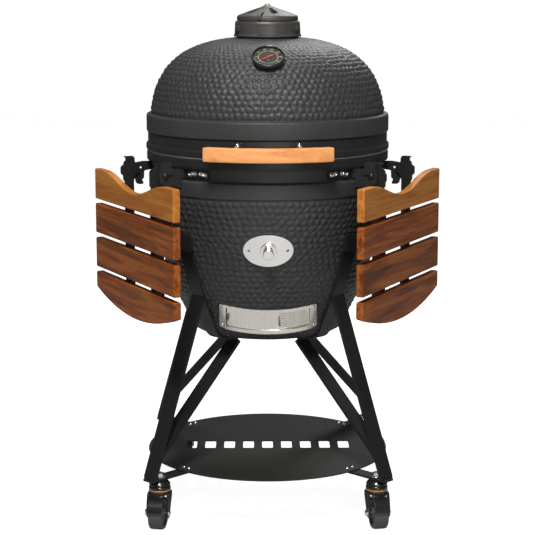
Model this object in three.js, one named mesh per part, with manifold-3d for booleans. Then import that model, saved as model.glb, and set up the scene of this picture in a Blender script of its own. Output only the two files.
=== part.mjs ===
// A kamado grill: a ceramic bowl and hinged ceramic lid on a four-leg steel stand with
// swivel casters, two fold-down slatted side shelves, and the fire parts inside.
// Millimetres, +Z up, -Y is the front. Heights are drawn from a datum a little above the
// ground, and the whole grill is raised at the end, so the origin is on the ground below
// the kamado's axis.

import * as THREE from 'three';
import { mergeVertices } from 'three/addons/utils/BufferGeometryUtils.js';
import Module from 'manifold-3d';

const wasm = await Module();
wasm.setup();

// ---------------------------------------------------------------- driving dimensions

const GAP = 0.3; // left between pieces that rest on each other
const ROUND = 36; // facets round the ceramic body
const SMALL_ROUND = 16; // facets round small turned pieces

const GROUND = -20; // height of the ground in the drawing

// Heights of the kamado, from the bottom up.
const BOWL_BOTTOM = 390;
const BOWL_FLOOR = 416;
const COLLAR_LOW = 735;
const COLLAR_HIGH = 769;
const RECESS_HIGH = 797;
const BOWL_RIM = 818;
const LID_RIM = 827;
const BAND_TOP = 865.5;
const FLANGE_LOW = 866;
const FLANGE_HIGH = 906;
const DOME_TOP = 1081;

// Radii of the kamado.
const FLANGE_R = 282.7;
const NECK_R = 276.5; // ceramic inside both steel bands
const INNER_R = 250; // cooking chamber at the rim
const COLLAR_R = 278;
const RECESS_R = 270;
const DOME_R = 272; // where the dome springs from
const DOME_SPRING = 864;
const DOME_WALL = 22;
const DOME_SIDE_POWER = 2.9; // how square the dome's shoulder is, outwards
const DOME_TOP_POWER = 2.6; // and upwards
const CHIMNEY_R = 55;

// Fire parts, each resting on the one below.
const FIRE_BOX_TOP = 612;
const COAL_LEDGE = 484;
const FIRE_RING_TOP = 726;
const COOKING_GRATE_R = 236;

// Lid hinge, behind the bands.
const HINGE_Y = 338;
const HINGE_Z = 812;
const HINGE_PIN_R = 5;

// Vent on top of the dome.
const VENT_R = 77;
const VENT_BASE_TOP = 1118;
const CAP_R = 71;
const CAP_APEX = 1154;
const VENT_SLOTS = 5;

// Thermometer: where it meets the dome, and its tilt above the horizontal.
const GAUGE_SEAT_R = 207;
const GAUGE_SEAT_Z = 1036;
const GAUGE_TILT = THREE.MathUtils.degToRad(54);
const GAUGE_R = 37;
const GAUGE_DEPTH = 15;

// Side shelves: the fold line is turned from the front-back line.
const SHELF_TURN = THREE.MathUtils.degToRad(117);
const SHELF_LENGTH = 454;
const SHELF_FACE = 346; // outer face of the slats from the axis, folded down
const SLAT_THICK = 18;
const DIP_SHARE = 0.8; // share of the top slat's length that its dip takes
const ARM_OFFSET = 81.5; // from the middle of the shelf to an arm's inner face
const ARM_THICK = 5;
const FOLD_R = 303; // fold axis from the kamado's axis
const FOLD_Z = 782;

// Stand.
const BAR_WIDTH = 38;
const BAR_THICK = 8;
const STRAP_THICK = 5;
const FOOT_BAR_LOW = 112; // above the ground
const FOOT_BAR_THICK = 5;
const FOOT_BAR_END = 387; // from the kamado's axis
const SHELF_DISC_R = 287;
const SHELF_DISC_THICK = 3;

// Casters.
const CASTER_REACH = 350; // from the kamado's axis
const CASTER_TRAIL = 18;
const WHEEL_R = 37.5;
const HOOD_R = 43; // outside of the hood, from the axle
const HOOD_THICK = 2.5;
const HOOD_HALF = 16.5;
const AXLE_R = 5;

// ---------------------------------------------------------------- materials

function finish(color, roughness, metalness) {
  return new THREE.MeshStandardMaterial({ color, roughness, metalness });
}

const glazedCeramic = finish(0x525453, 0.45, 0);
const rawCeramic = finish(0xb3a58f, 0.95, 0);
const bandSteel = finish(0x3f403f, 0.45, 0.6);
const blackSteel = finish(0x232322, 0.55, 0.3);
const castIron = finish(0x5f5a56, 0.6, 0.6);
const brushedSteel = finish(0xc8c2b8, 0.35, 1);
const wood = finish(0xb8763d, 0.55, 0);
const felt = finish(0x2c2a28, 0.98, 0);
const rubber = finish(0x45443f, 0.8, 0);
const dialGlass = finish(0xe8eeee, 0.05, 0);
const needleRed = finish(0xb3231c, 0.5, 0);

// ---------------------------------------------------------------- shape helpers

function solidOf(geometry) {
  const bare = geometry.clone();
  bare.deleteAttribute('normal');
  bare.deleteAttribute('uv');
  const merged = mergeVertices(bare, 1e-3);
  const positions = merged.attributes.position.array;
  const triangles = [];
  let volume = 0;
  for (let i = 0; i < merged.index.count; i += 3) {
    const corner = [0, 1, 2].map((k) => merged.index.getX(i + k));
    if (new Set(corner).size < 3) continue;
    triangles.push(...corner);
    const [a, b, c] = corner.map((v) => new THREE.Vector3().fromArray(positions, 3 * v));
    volume += a.dot(b.cross(c));
  }
  const triVerts = new Uint32Array(volume < 0 ? triangles.reverse() : triangles);
  const vertProperties = new Float32Array(positions);
  return new wasm.Manifold(new wasm.Mesh({ numProp: 3, vertProperties, triVerts }));
}

function asSolid(shape) {
  return shape.isBufferGeometry ? solidOf(shape) : shape;
}

function join(...shapes) {
  return shapes.map(asSolid).reduce((whole, next) => whole.add(next));
}

function cut(shape, ...tools) {
  return tools.map(asSolid).reduce((whole, tool) => whole.subtract(tool), asSolid(shape));
}

function overlapOf(a, b) {
  return asSolid(a).intersect(asSolid(b));
}

function geometryOf(shape) {
  const mesh = asSolid(shape).getMesh();
  const geometry = new THREE.BufferGeometry();
  geometry.setAttribute('position', new THREE.BufferAttribute(new Float32Array(mesh.vertProperties), 3));
  geometry.setIndex(new THREE.BufferAttribute(new Uint32Array(mesh.triVerts), 1));
  const flat = geometry.toNonIndexed();
  flat.computeVertexNormals();
  return flat;
}

function addPart(group, name, shape, material) {
  const mesh = new THREE.Mesh(geometryOf(shape), material);
  mesh.name = name;
  group.add(mesh);
  return mesh;
}

function box(x0, x1, y0, y1, z0, z1) {
  const geometry = new THREE.BoxGeometry(x1 - x0, y1 - y0, z1 - z0);
  return geometry.translate((x0 + x1) / 2, (y0 + y1) / 2, (z0 + z1) / 2);
}

// A turned body about the Z axis: the profile is a loop of [radius, height] points.
function lathe(profile, segments = ROUND) {
  const points = [...profile, profile[0]].map(([r, z]) => new THREE.Vector2(r, z));
  return new THREE.LatheGeometry(points, segments).rotateX(Math.PI / 2);
}

function ring(innerR, outerR, z0, z1, segments = ROUND) {
  return lathe([[innerR, z0], [outerR, z0], [outerR, z1], [innerR, z1]], segments);
}

function disc(radius, z0, z1, segments = SMALL_ROUND) {
  return new THREE.CylinderGeometry(radius, radius, z1 - z0, segments)
    .rotateX(Math.PI / 2)
    .translate(0, 0, (z0 + z1) / 2);
}

// A round rod along the X axis.
function rodX(radius, x0, x1, y, z, segments = 12) {
  return new THREE.CylinderGeometry(radius, radius, x1 - x0, segments)
    .rotateZ(Math.PI / 2)
    .translate((x0 + x1) / 2, y, z);
}

function outlineShape(points) {
  return new THREE.Shape(points.map(([x, y]) => new THREE.Vector2(x, y)));
}

// A plate whose outline lies in the Y-Z plane, from x0 to x1.
function sidePlate(outline, x0, x1) {
  const shape = outline.isShape ? outline : outlineShape(outline);
  const options = { depth: x1 - x0, bevelEnabled: false, curveSegments: 8 };
  const geometry = new THREE.ExtrudeGeometry(shape, options);
  const axes = new THREE.Matrix4().makeBasis(
    new THREE.Vector3(0, 1, 0),
    new THREE.Vector3(0, 0, 1),
    new THREE.Vector3(1, 0, 0),
  );
  return geometry.applyMatrix4(axes).translate(x0, 0, 0);
}

// A curved plate about the Z axis, centred on the front (-Y) at the given turn, in degrees.
function arcPlate(innerR, outerR, turn, halfAngle, z0, z1, arcSegments = 5) {
  const middle = THREE.MathUtils.degToRad(turn - 90);
  const half = THREE.MathUtils.degToRad(halfAngle);
  const shape = new THREE.Shape();
  shape.absarc(0, 0, outerR, middle - half, middle + half, false);
  shape.absarc(0, 0, innerR, middle + half, middle - half, true);
  const options = { depth: z1 - z0, bevelEnabled: false, curveSegments: arcSegments };
  return new THREE.ExtrudeGeometry(shape, options).translate(0, 0, z0);
}

// The line that runs beside a line of [x, y] points, at a distance to its right.
function beside(points, distance) {
  return points.map((point, i) => {
    const before = points[Math.max(i - 1, 0)];
    const after = points[Math.min(i + 1, points.length - 1)];
    const along = new THREE.Vector2(after[0] - before[0], after[1] - before[1]).normalize();
    return [point[0] + along.y * distance, point[1] - along.x * distance];
  });
}

// Flat bar bent along a line in the Y-Z plane; its width runs across X.
function bentBar(line, thickness, width) {
  const outline = [...beside(line, thickness / 2), ...beside(line, -thickness / 2).reverse()];
  return sidePlate(outline, -width / 2, width / 2);
}

function smoothLine(points, divisions) {
  const curve = new THREE.SplineCurve(points.map(([x, y]) => new THREE.Vector2(x, y)));
  return curve.getPoints(divisions).map((p) => [p.x, p.y]);
}

// ---------------------------------------------------------------- profiles of the ceramic

// Outside of the dome: a superellipse from the spring line up to a given radius.
function domeHeight(radius, springR, top) {
  const reach = Math.pow(radius / springR, DOME_SIDE_POWER);
  return DOME_SPRING + (top - DOME_SPRING) * Math.pow(Math.max(0, 1 - reach), 1 / DOME_TOP_POWER);
}

// The dome's line from its low edge up to the chimney, with closer steps at the shoulder.
function domeLine(springR, top, lowZ, topR, steps) {
  const span = (lowZ - DOME_SPRING) / (top - DOME_SPRING);
  const lowR = springR * Math.pow(1 - Math.pow(span, DOME_TOP_POWER), 1 / DOME_SIDE_POWER);
  const line = [];
  for (let i = 0; i <= steps; i++) {
    const t = Math.sin((Math.PI / 2) * (i / steps));
    const radius = lowR - (lowR - topR) * (1 - Math.sqrt(1 - t * t));
    line.push([radius, domeHeight(radius, springR, top)]);
  }
  line[0] = [lowR, lowZ];
  return line;
}

const bowlOutside = smoothLine(
  [[122, BOWL_BOTTOM], [172, 403], [197, 450], [226, 515], [255, 612], [270, 690], [275.5, COLLAR_LOW - 2]],
  9,
);
const bowlInside = smoothLine(
  [[126, BOWL_FLOOR], [156, 430], [175, 468], [199, 525], [229, 615], [243, 690], [INNER_R, 742]],
  5,
);

// ---------------------------------------------------------------- lid

function lidDome() {
  const outside = domeLine(DOME_R, DOME_TOP, FLANGE_HIGH + 2, 72, 8);
  const inside = domeLine(DOME_R - DOME_WALL, DOME_TOP - DOME_WALL, FLANGE_HIGH, 72, 4).reverse();
  const shell = lathe([
    [INNER_R, LID_RIM],
    [NECK_R, LID_RIM],
    [NECK_R, FLANGE_LOW],
    [FLANGE_R, FLANGE_LOW + 3],
    [FLANGE_R, FLANGE_HIGH - 5],
    ...outside,
    [66, DOME_TOP + 1],
    [66, DOME_TOP + 14],
    [CHIMNEY_R, DOME_TOP + 14],
    [CHIMNEY_R, DOME_TOP - DOME_WALL],
    ...inside,
  ]);
  const stemHole = gaugeFrame(disc(4.5, -60, 30, 10));
  return cut(shell, stemHole);
}

function lidBand() {
  const inner = NECK_R + GAP;
  return lathe([
    [inner, 824.5],
    [inner + 4, 824.5],
    [284, 827.5],
    [284, 836.5],
    [279.4, 840],
    [279.4, BAND_TOP - 2],
    [inner + 1.5, BAND_TOP],
    [inner, BAND_TOP],
  ]);
}

function gasket(low) {
  return ring(253, 272, low, low + 4);
}

const GRIP_INNER_R = 303;
const GRIP_OUTER_R = 325;
const GRIP_HALF_ANGLE = THREE.MathUtils.degToRad(26.3);
const GRIP_LOW = 821.5;
const GRIP_HIGH = 853;

function handleGrip() {
  const bevel = 3;
  const trim = bevel / GRIP_OUTER_R;
  const shape = new THREE.Shape();
  const from = -Math.PI / 2 - GRIP_HALF_ANGLE + trim;
  const to = -Math.PI / 2 + GRIP_HALF_ANGLE - trim;
  shape.absarc(0, 0, GRIP_OUTER_R - bevel, from, to, false);
  shape.absarc(0, 0, GRIP_INNER_R + bevel, to, from, true);
  const options = {
    depth: GRIP_HIGH - GRIP_LOW - 2 * bevel,
    bevelThickness: bevel,
    bevelSize: bevel,
    bevelSegments: 1,
    curveSegments: 7,
  };
  return new THREE.ExtrudeGeometry(shape, options).translate(0, 0, GRIP_LOW + bevel);
}

// Stands behind the grip: a foot on the band, an arm and a plate against the grip.
function handleBracket() {
  return join(
    box(-15, 15, -283.4, -280, 842, 863),
    box(-9, 9, -302.2, -282, 843, 848),
    box(-12, 12, -302.2, -299, 827, 848),
  );
}

const HANDLE_BRACKET_TURN = THREE.MathUtils.degToRad(13.3);

function ventBase() {
  const body = lathe([
    [67, DOME_TOP + 1],
    [VENT_R, DOME_TOP + 1],
    [VENT_R - 1.5, VENT_BASE_TOP - 3],
    [VENT_R - 4, VENT_BASE_TOP],
    [10, VENT_BASE_TOP],
    [10, VENT_BASE_TOP - 5],
    [67, VENT_BASE_TOP - 5],
  ], 20);
  const skin = ring(VENT_R - 7, VENT_R + 2, DOME_TOP, VENT_BASE_TOP, 20);
  const plate = overlapOf(box(-25, 25, -100, 0, DOME_TOP + 3, DOME_TOP + 33), skin);
  return cut(join(body, plate), ...ventSlots(0), pinHole(VENT_BASE_TOP));
}

function pinHole(z) {
  return disc(4, z - 10, z + 60, 12);
}

// Tapered openings round the vent, the narrow end towards the middle.
function ventSlots(turn) {
  const slots = [];
  for (let i = 0; i < VENT_SLOTS; i++) {
    const outline = outlineShape([[20, -3], [44, -9], [52, -6], [55, 0], [52, 6], [44, 9], [20, 3]]);
    const geometry = new THREE.ExtrudeGeometry(outline, { depth: 80, bevelEnabled: false });
    const angle = THREE.MathUtils.degToRad(-90 + 18 + turn) + (i * 2 * Math.PI) / VENT_SLOTS;
    slots.push(geometry.rotateZ(angle).translate(0, 0, VENT_BASE_TOP - 20));
  }
  return slots;
}

// A low cone with a turned-down lip, a centre pivot and a turning lug.
function ventCap() {
  const low = VENT_BASE_TOP + GAP;
  const lipTop = low + 11;
  const cone = lathe([
    [0, low - 12],
    [3.5, low - 12],
    [3.5, low],
    [12, low],
    [12, low + 18],
    [CAP_R - 6, low + 1],
    [CAP_R - 6, low],
    [CAP_R - 1, low],
    [CAP_R, low + 2],
    [CAP_R, lipTop - 1],
    [CAP_R - 2, lipTop + 1],
    [14, CAP_APEX - 4],
    [6, CAP_APEX],
    [0, CAP_APEX],
  ], 20);
  const lug = box(-5, 5, -CAP_R - 4, -CAP_R + 26, low + 1, low + 21).rotateZ(THREE.MathUtils.degToRad(-15));
  return cut(join(cone, lug), ...ventSlots(0));
}

// Places a shape, drawn with its front along +Z, on the thermometer's seat on the dome.
function gaugeFrame(geometry) {
  return geometry
    .rotateX(Math.PI / 2 - GAUGE_TILT)
    .translate(0, -GAUGE_SEAT_R, GAUGE_SEAT_Z);
}

// Case with a recessed dial, and the probe that goes down through the dome.
function thermometerCase() {
  return lathe([
    [0, -48],
    [3, -46],
    [3.2, 1],
    [22, 1],
    [GAUGE_R - 4, 4],
    [GAUGE_R, 8],
    [GAUGE_R, GAUGE_DEPTH],
    [GAUGE_R - 2, GAUGE_DEPTH + 1],
    [GAUGE_R - 4, GAUGE_DEPTH],
    [GAUGE_R - 4, GAUGE_DEPTH - 5],
    [2, GAUGE_DEPTH - 5],
    [2, GAUGE_DEPTH - 4.2],
    [0, GAUGE_DEPTH - 4.2],
  ], 16);
}

function thermometerLens() {
  return disc(GAUGE_R - 4.4, GAUGE_DEPTH - 1.7, GAUGE_DEPTH - 0.2, 16);
}

// Pointer with its hub round the dial's centre post.
function thermometerNeedle() {
  const low = GAUGE_DEPTH - 4;
  const pointer = new THREE.ExtrudeGeometry(
    outlineShape([[-13, -1.6], [23, -0.8], [25, 0], [23, 0.8], [-13, 1.6]]),
    { depth: 0.8, bevelEnabled: false },
  ).translate(0, 0, low);
  const hub = disc(3.6, low, low + 1.6, 12);
  return join(pointer, hub);
}

// Two knuckle arms on a foot that is bolted to the lid band.
function lidHingeArm() {
  const arm = [
    [286, 828], [286, 862], [294, 862], [HINGE_Y + 8, HINGE_Z + 13], [HINGE_Y + 14, HINGE_Z],
    [HINGE_Y + 8, HINGE_Z - 12], [HINGE_Y - 8, HINGE_Z - 12], [HINGE_Y - 14, HINGE_Z], [300, 828],
  ];
  return cut(
    join(sidePlate(arm, 40, 46), sidePlate(arm, -46, -40), box(-50, 50, 284.6, 289, 828, 862)),
    rodX(HINGE_PIN_R + 0.4, -60, 60, HINGE_Y, HINGE_Z),
  );
}

function buildLid(lid) {
  addPart(lid, 'lid_dome', lidDome(), glazedCeramic);
  addPart(lid, 'lid_band', lidBand(), bandSteel);
  addPart(lid, 'lid_gasket', gasket(822.7), felt);
  addPart(lid, 'handle_grip', handleGrip(), wood);
  for (const [side, sign] of [['left', -1], ['right', 1]]) {
    const bracket = addPart(lid, `handle_bracket_${side}`, handleBracket(), blackSteel);
    bracket.rotation.z = sign * HANDLE_BRACKET_TURN;
  }
  addPart(lid, 'vent_base', ventBase(), castIron);
  addPart(lid, 'vent_cap', ventCap(), castIron);
  addPart(lid, 'lid_hinge_arm', lidHingeArm(), blackSteel);

  const gauge = new THREE.Group();
  gauge.position.set(0, -GAUGE_SEAT_R, GAUGE_SEAT_Z);
  gauge.rotation.x = Math.PI / 2 - GAUGE_TILT;
  lid.add(gauge);
  addPart(gauge, 'thermometer_case', thermometerCase(), blackSteel);
  addPart(gauge, 'thermometer_lens', thermometerLens(), dialGlass);
  const needle = addPart(gauge, 'thermometer_needle', thermometerNeedle(), needleRed);
  needle.rotation.z = THREE.MathUtils.degToRad(214);
}

// ---------------------------------------------------------------- bowl and its fittings

// Draft door assembly: its curved plates share an axis that leans with the bowl's wall.
const DRAFT_TILT = THREE.MathUtils.degToRad(18);
const DRAFT_R = 205; // outer face of the frame
const DRAFT_FACE_Y = -201.7; // middle of the frame's face
const DRAFT_FACE_Z = 447;
const DRAFT_HALF_HEIGHT = 30.5;
const DRAFT_HALF_ANGLE = 33;
const DRAFT_SEAT_R = 196; // ceramic behind the frame

function placeDraft(object) {
  object.rotation.x = DRAFT_TILT;
  object.position.set(
    0,
    DRAFT_FACE_Y + DRAFT_R * Math.cos(DRAFT_TILT),
    DRAFT_FACE_Z + DRAFT_R * Math.sin(DRAFT_TILT),
  );
  object.updateMatrix();
  return object;
}

const draftMatrix = placeDraft(new THREE.Object3D()).matrix;

// Poker port: an oval plate whose axis leans back with the wall.
const PORT_TILT = THREE.MathUtils.degToRad(12);
const PORT_R = 262; // outer face of the plate
const PORT_FACE_Y = -261;
const PORT_FACE_Z = 620;

function placePort(object) {
  object.rotation.x = PORT_TILT;
  object.position.set(
    0,
    PORT_FACE_Y + PORT_R * Math.cos(PORT_TILT),
    PORT_FACE_Z + PORT_R * Math.sin(PORT_TILT),
  );
  object.updateMatrix();
  return object;
}

const portMatrix = placePort(new THREE.Object3D()).matrix;

// A round bar along Y, for the port.
function discY(radius, y0, y1, segments = SMALL_ROUND) {
  return new THREE.CylinderGeometry(radius, radius, y1 - y0, segments).translate(0, (y0 + y1) / 2, 0);
}

function bowl() {
  const shell = lathe([
    [0, BOWL_BOTTOM],
    ...bowlOutside,
    [COLLAR_R, COLLAR_LOW],
    [COLLAR_R, COLLAR_HIGH - 2],
    [COLLAR_R - 2, COLLAR_HIGH],
    [RECESS_R, COLLAR_HIGH + 3],
    [RECESS_R, RECESS_HIGH],
    [NECK_R, RECESS_HIGH + 0.5],
    [NECK_R, BOWL_RIM],
    [INNER_R, BOWL_RIM],
    ...[...bowlInside].reverse(),
    [0, BOWL_FLOOR],
  ]);
  const half = DRAFT_HALF_ANGLE;
  const high = DRAFT_HALF_HEIGHT;
  const seat = arcPlate(172, DRAFT_SEAT_R, 0, half, -high, high);
  const pocket = arcPlate(DRAFT_SEAT_R, 250, 0, half + 0.6, -high - 4, high + 2);
  const opening = arcPlate(140, 250, 0, 25, -20, 20);
  const portSeat = overlapOf(arcPlate(240, 257.5, 0, 14, -40, 40), ovalBlock(58, 39));
  const portPocket = overlapOf(arcPlate(257.5, 300, 0, 20, -50, 50), ovalBlock(58, 39));
  const portHole = discY(16, -300, -200).applyMatrix4(portMatrix);
  return cut(
    join(shell, seat.applyMatrix4(draftMatrix), placedSolid(portSeat, portMatrix)),
    pocket.applyMatrix4(draftMatrix),
    opening.applyMatrix4(draftMatrix),
    placedSolid(portPocket, portMatrix),
    portHole,
  );
}

function placedSolid(solid, matrix) {
  return solidOf(geometryOf(solid).applyMatrix4(matrix));
}

function ovalBlock(halfWidth, halfHeight) {
  return new THREE.CylinderGeometry(1, 1, 200, 24).scale(halfWidth, 1, halfHeight).translate(0, -250, 0);
}

function baseBand() {
  const inner = NECK_R + GAP;
  return lathe([
    [inner, 800],
    [inner + 4, 800],
    [282.5, 802],
    [282.5, 817],
    [280.5, 821.3],
    [inner, 821.3],
  ]);
}

function fireBox() {
  const pot = lathe([
    [100, BOWL_FLOOR + GAP],
    [118, BOWL_FLOOR + GAP],
    [136, 432],
    [164, 510],
    [196, FIRE_BOX_TOP],
    [176, FIRE_BOX_TOP],
    [146, 512],
    [137, COAL_LEDGE + 2],
    [137, COAL_LEDGE],
    [118, COAL_LEDGE],
    [104, 440],
  ], 24);
  const ashDoor = box(-62, 62, -220, -60, 429, 468);
  return cut(pot, ashDoor);
}

function fireRing() {
  return lathe([
    [178, FIRE_BOX_TOP + GAP],
    [197, FIRE_BOX_TOP + GAP],
    [240, FIRE_RING_TOP - 12],
    [240, FIRE_RING_TOP],
    [221, FIRE_RING_TOP],
  ], 24);
}

// Cast plate with straight slots that let ash fall through.
function charcoalGrate() {
  const low = COAL_LEDGE + GAP;
  const plate = lathe([[12, low], [134, low], [134, low + 8], [12, low + 8]], 24);
  const slots = [];
  for (let i = -3; i <= 3; i++) {
    const x = i * 32;
    const reach = Math.sqrt(118 * 118 - x * x);
    const inner = x === 0 ? 24 : 8; // clear of the middle hole
    slots.push(box(x - 5, x + 5, inner, reach, low - 5, low + 15));
    slots.push(box(x - 5, x + 5, -reach, -inner, low - 5, low + 15));
  }
  return cut(plate, ...slots);
}

// Round rods across a ring, with two cross rods below.
function cookingGrate() {
  const low = FIRE_RING_TOP + GAP;
  const rim = ring(COOKING_GRATE_R - 8, COOKING_GRATE_R, low, low + 8, 28);
  const rods = [];
  const spacing = 34;
  for (let i = -6; i <= 6; i++) {
    const y = i * spacing;
    const reach = Math.sqrt((COOKING_GRATE_R - 5) ** 2 - y * y);
    rods.push(rodX(3, -reach, reach, y, low + 5, 6));
  }
  const cross = [-90, 90].map((x) => box(x - 3, x + 3, -206, 206, low, low + 5));
  return join(rim, ...rods, ...cross);
}

// Back plate bolted to the base band, with an ear each side of the lid's knuckles.
function baseHingeBracket() {
  const ear = [
    [284, 776], [284, 812], [HINGE_Y - 12, HINGE_Z + 8], [HINGE_Y, HINGE_Z + 13],
    [HINGE_Y + 13, HINGE_Z + 4], [HINGE_Y + 13, HINGE_Z - 8], [300, 776],
  ];
  const plate = box(-70, 70, 283.2, 288, 776, 812);
  return cut(
    join(plate, sidePlate(ear, 48, 54), sidePlate(ear, -54, -48)),
    rodX(HINGE_PIN_R + 0.4, -60, 60, HINGE_Y, HINGE_Z),
  );
}

function hingePin() {
  return join(
    rodX(HINGE_PIN_R, -57, 57, HINGE_Y, HINGE_Z),
    rodX(8, 54.4, 59, HINGE_Y, HINGE_Z),
    rodX(8, -59, -54.4, HINGE_Y, HINGE_Z),
  );
}

class CoilCurve extends THREE.Curve {
  constructor(radius, length, turns) {
    super();
    Object.assign(this, { radius, length, turns });
  }

  getPoint(t, target = new THREE.Vector3()) {
    const angle = t * this.turns * 2 * Math.PI;
    return target.set(this.length * t, this.radius * Math.cos(angle), this.radius * Math.sin(angle));
  }
}

// A torsion spring round the hinge pin, from x0 to x1.
function hingeSpring(x0, x1) {
  const turns = 4;
  const wire = new THREE.Shape();
  wire.absarc(0, 0, 1.8, 0, 2 * Math.PI, false);
  const options = {
    steps: turns * 7,
    curveSegments: 2,
    bevelEnabled: false,
    extrudePath: new CoilCurve(9, x1 - x0, turns),
  };
  return new THREE.ExtrudeGeometry(wire, options).translate(x0, HINGE_Y, HINGE_Z);
}

// Frame with a window, and rails whose lips hold the sliding panels.
function draftFrame() {
  const backInner = DRAFT_SEAT_R + GAP;
  const backOuter = backInner + 2;
  const half = DRAFT_HALF_ANGLE;
  const high = DRAFT_HALF_HEIGHT;
  const pieces = [
    cut(arcPlate(backInner, backOuter, 0, half, -high, high), arcPlate(190, 210, 0, 25.5, -21, 21)),
    arcPlate(backInner, DRAFT_R, 0, 28.9, high - 3.5, high),
    arcPlate(backInner, DRAFT_R, 0, 28.9, -high - 2, -high + 3.5),
    arcPlate(203.4, DRAFT_R, 0, 28.9, high - 8, high),
    arcPlate(203.4, DRAFT_R, 0, 28.9, -high - 2, -high + 8),
  ];
  for (const sign of [-1, 1]) {
    pieces.push(arcPlate(backInner, DRAFT_R, sign * (half + 28.2) / 2, (half - 28.2) / 2, -high, high, 3));
  }
  return join(...pieces);
}

// Solid sliding panel with a bent pull at its right edge.
function draftDoor() {
  return join(
    arcPlate(201.2, 202.6, -10, 17.5, -26.3, 26.3),
    arcPlate(201.2, 214, 7, 0.5, -18, 18, 2),
    arcPlate(212.5, 214, 7.8, 1.3, -18, 18, 2),
  );
}

// Perforated sliding panel behind the door.
function sparkScreen() {
  const panel = arcPlate(199, 200.4, 10, 17.5, -26.3, 26.3);
  const holes = [];
  for (let column = 0; column < 4; column++) {
    for (let row = -1; row <= 1; row++) {
      const hole = discY(4, -220, -180, 6).translate(0, 0, row * 15);
      holes.push(hole.rotateZ(THREE.MathUtils.degToRad(-1 + column * 7.5)));
    }
  }
  return cut(panel, ...holes);
}

function portPlate() {
  const plate = overlapOf(arcPlate(257.9, PORT_R, 0, 14, -40, 40), ovalBlock(56.5, 37.5));
  return cut(plate, discY(14.8, -300, -200));
}

// Stopper with a flange and a turned knob, drawn along -Y.
function portPlug() {
  const bung = discY(14, -PORT_R - 4, -234);
  const flange = discY(18, -PORT_R - 3, -PORT_R - 0.6);
  const knob = discY(12.5, -PORT_R - 25, -PORT_R - 2);
  return join(bung, flange, knob);
}

function buildBase(base) {
  addPart(base, 'bowl', bowl(), glazedCeramic);
  addPart(base, 'base_band', baseBand(), bandSteel);
  addPart(base, 'base_gasket', gasket(BOWL_RIM + GAP), felt);
  addPart(base, 'fire_box', fireBox(), rawCeramic);
  addPart(base, 'fire_ring', fireRing(), rawCeramic);
  addPart(base, 'charcoal_grate', charcoalGrate(), castIron);
  addPart(base, 'cooking_grate', cookingGrate(), brushedSteel);
  addPart(base, 'base_hinge_bracket', baseHingeBracket(), blackSteel);
  addPart(base, 'hinge_pin', hingePin(), brushedSteel);
  addPart(base, 'hinge_spring_left', hingeSpring(-36, -6), brushedSteel);
  addPart(base, 'hinge_spring_right', hingeSpring(6, 36), brushedSteel);

  const draft = placeDraft(new THREE.Group());
  base.add(draft);
  addPart(draft, 'draft_frame', draftFrame(), brushedSteel);
  addPart(draft, 'draft_door', draftDoor(), brushedSteel);
  addPart(draft, 'spark_screen', sparkScreen(), brushedSteel);

  const port = placePort(new THREE.Group());
  base.add(port);
  addPart(port, 'port_plate', portPlate(), brushedSteel);
  addPart(port, 'port_plug', portPlug(), brushedSteel);
}

// ---------------------------------------------------------------- stand

// Corners of the stand: how far each leg is turned from the rear, and where its caster trails.
const CORNERS = [
  ['front_left', 135, 170],
  ['front_right', -135, 190],
  ['rear_left', 45, -90],
  ['rear_right', -45, -90],
];

// One leg weldment, drawn with +Y pointing out to its corner: a strap that cradles the
// bowl, a leg, a brace up to the strap's inner end, and a foot bar for the shelf and caster.
function leg() {
  const bowlSide = [...bowlOutside.filter(([, z]) => z > BOWL_BOTTOM + 1 && z < 640)];
  const strapLine = [[116, BOWL_BOTTOM], ...bowlSide, [260.5, 640]];
  const strap = bentBar(beside(strapLine, STRAP_THICK / 2 + 0.8), STRAP_THICK, BAR_WIDTH);
  const pad = box(-23, 23, 262.5, 272, 608, 645);
  const low = GROUND + FOOT_BAR_LOW;
  const postTop = [224, 500];
  const postFoot = [FOOT_BAR_END - 7, low + 1];
  const braceEnd = new THREE.Vector2(...postFoot).lerp(new THREE.Vector2(...postTop), 0.13);
  const post = bentBar([postTop, postFoot], BAR_THICK, BAR_WIDTH);
  const brace = bentBar([[110, 379], [braceEnd.x, braceEnd.y]], BAR_THICK, BAR_WIDTH);
  const footBar = box(-16, 16, 190, FOOT_BAR_END, low, low + FOOT_BAR_THICK);
  const trimBelow = box(-40, 40, 100, 500, low - 60, low);
  const stemHole = disc(6.6, low - 10, low + 20, 12).translate(0, CASTER_REACH, 0);
  return cut(join(strap, pad, post, brace, footBar), trimBelow, stemHole);
}

// Round lower shelf with a row of air slots across its middle.
function bottomShelf() {
  const low = GROUND + FOOT_BAR_LOW + FOOT_BAR_THICK + GAP;
  const slots = [];
  for (let i = -4; i <= 4; i++) {
    slots.push(box(i * 46 - 13, i * 46 + 13, -27, 37, low - 5, low + 10));
  }
  return cut(disc(SHELF_DISC_R, low, low + SHELF_DISC_THICK, ROUND), ...slots);
}

// Nut, stem and bearing cap of one caster, about its swivel axis, drawn from the ground up.
function casterStem() {
  const barTop = FOOT_BAR_LOW + FOOT_BAR_THICK;
  return lathe([
    [0, 99.3],
    [24, 99.3],
    [24, 102],
    [20, 108],
    [12, FOOT_BAR_LOW - GAP],
    [6, FOOT_BAR_LOW - GAP],
    [6, barTop + GAP],
    [10, barTop + GAP],
    [10, barTop + 7],
    [5, barTop + 10],
    [0, barTop + 10],
  ], 12);
}

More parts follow.
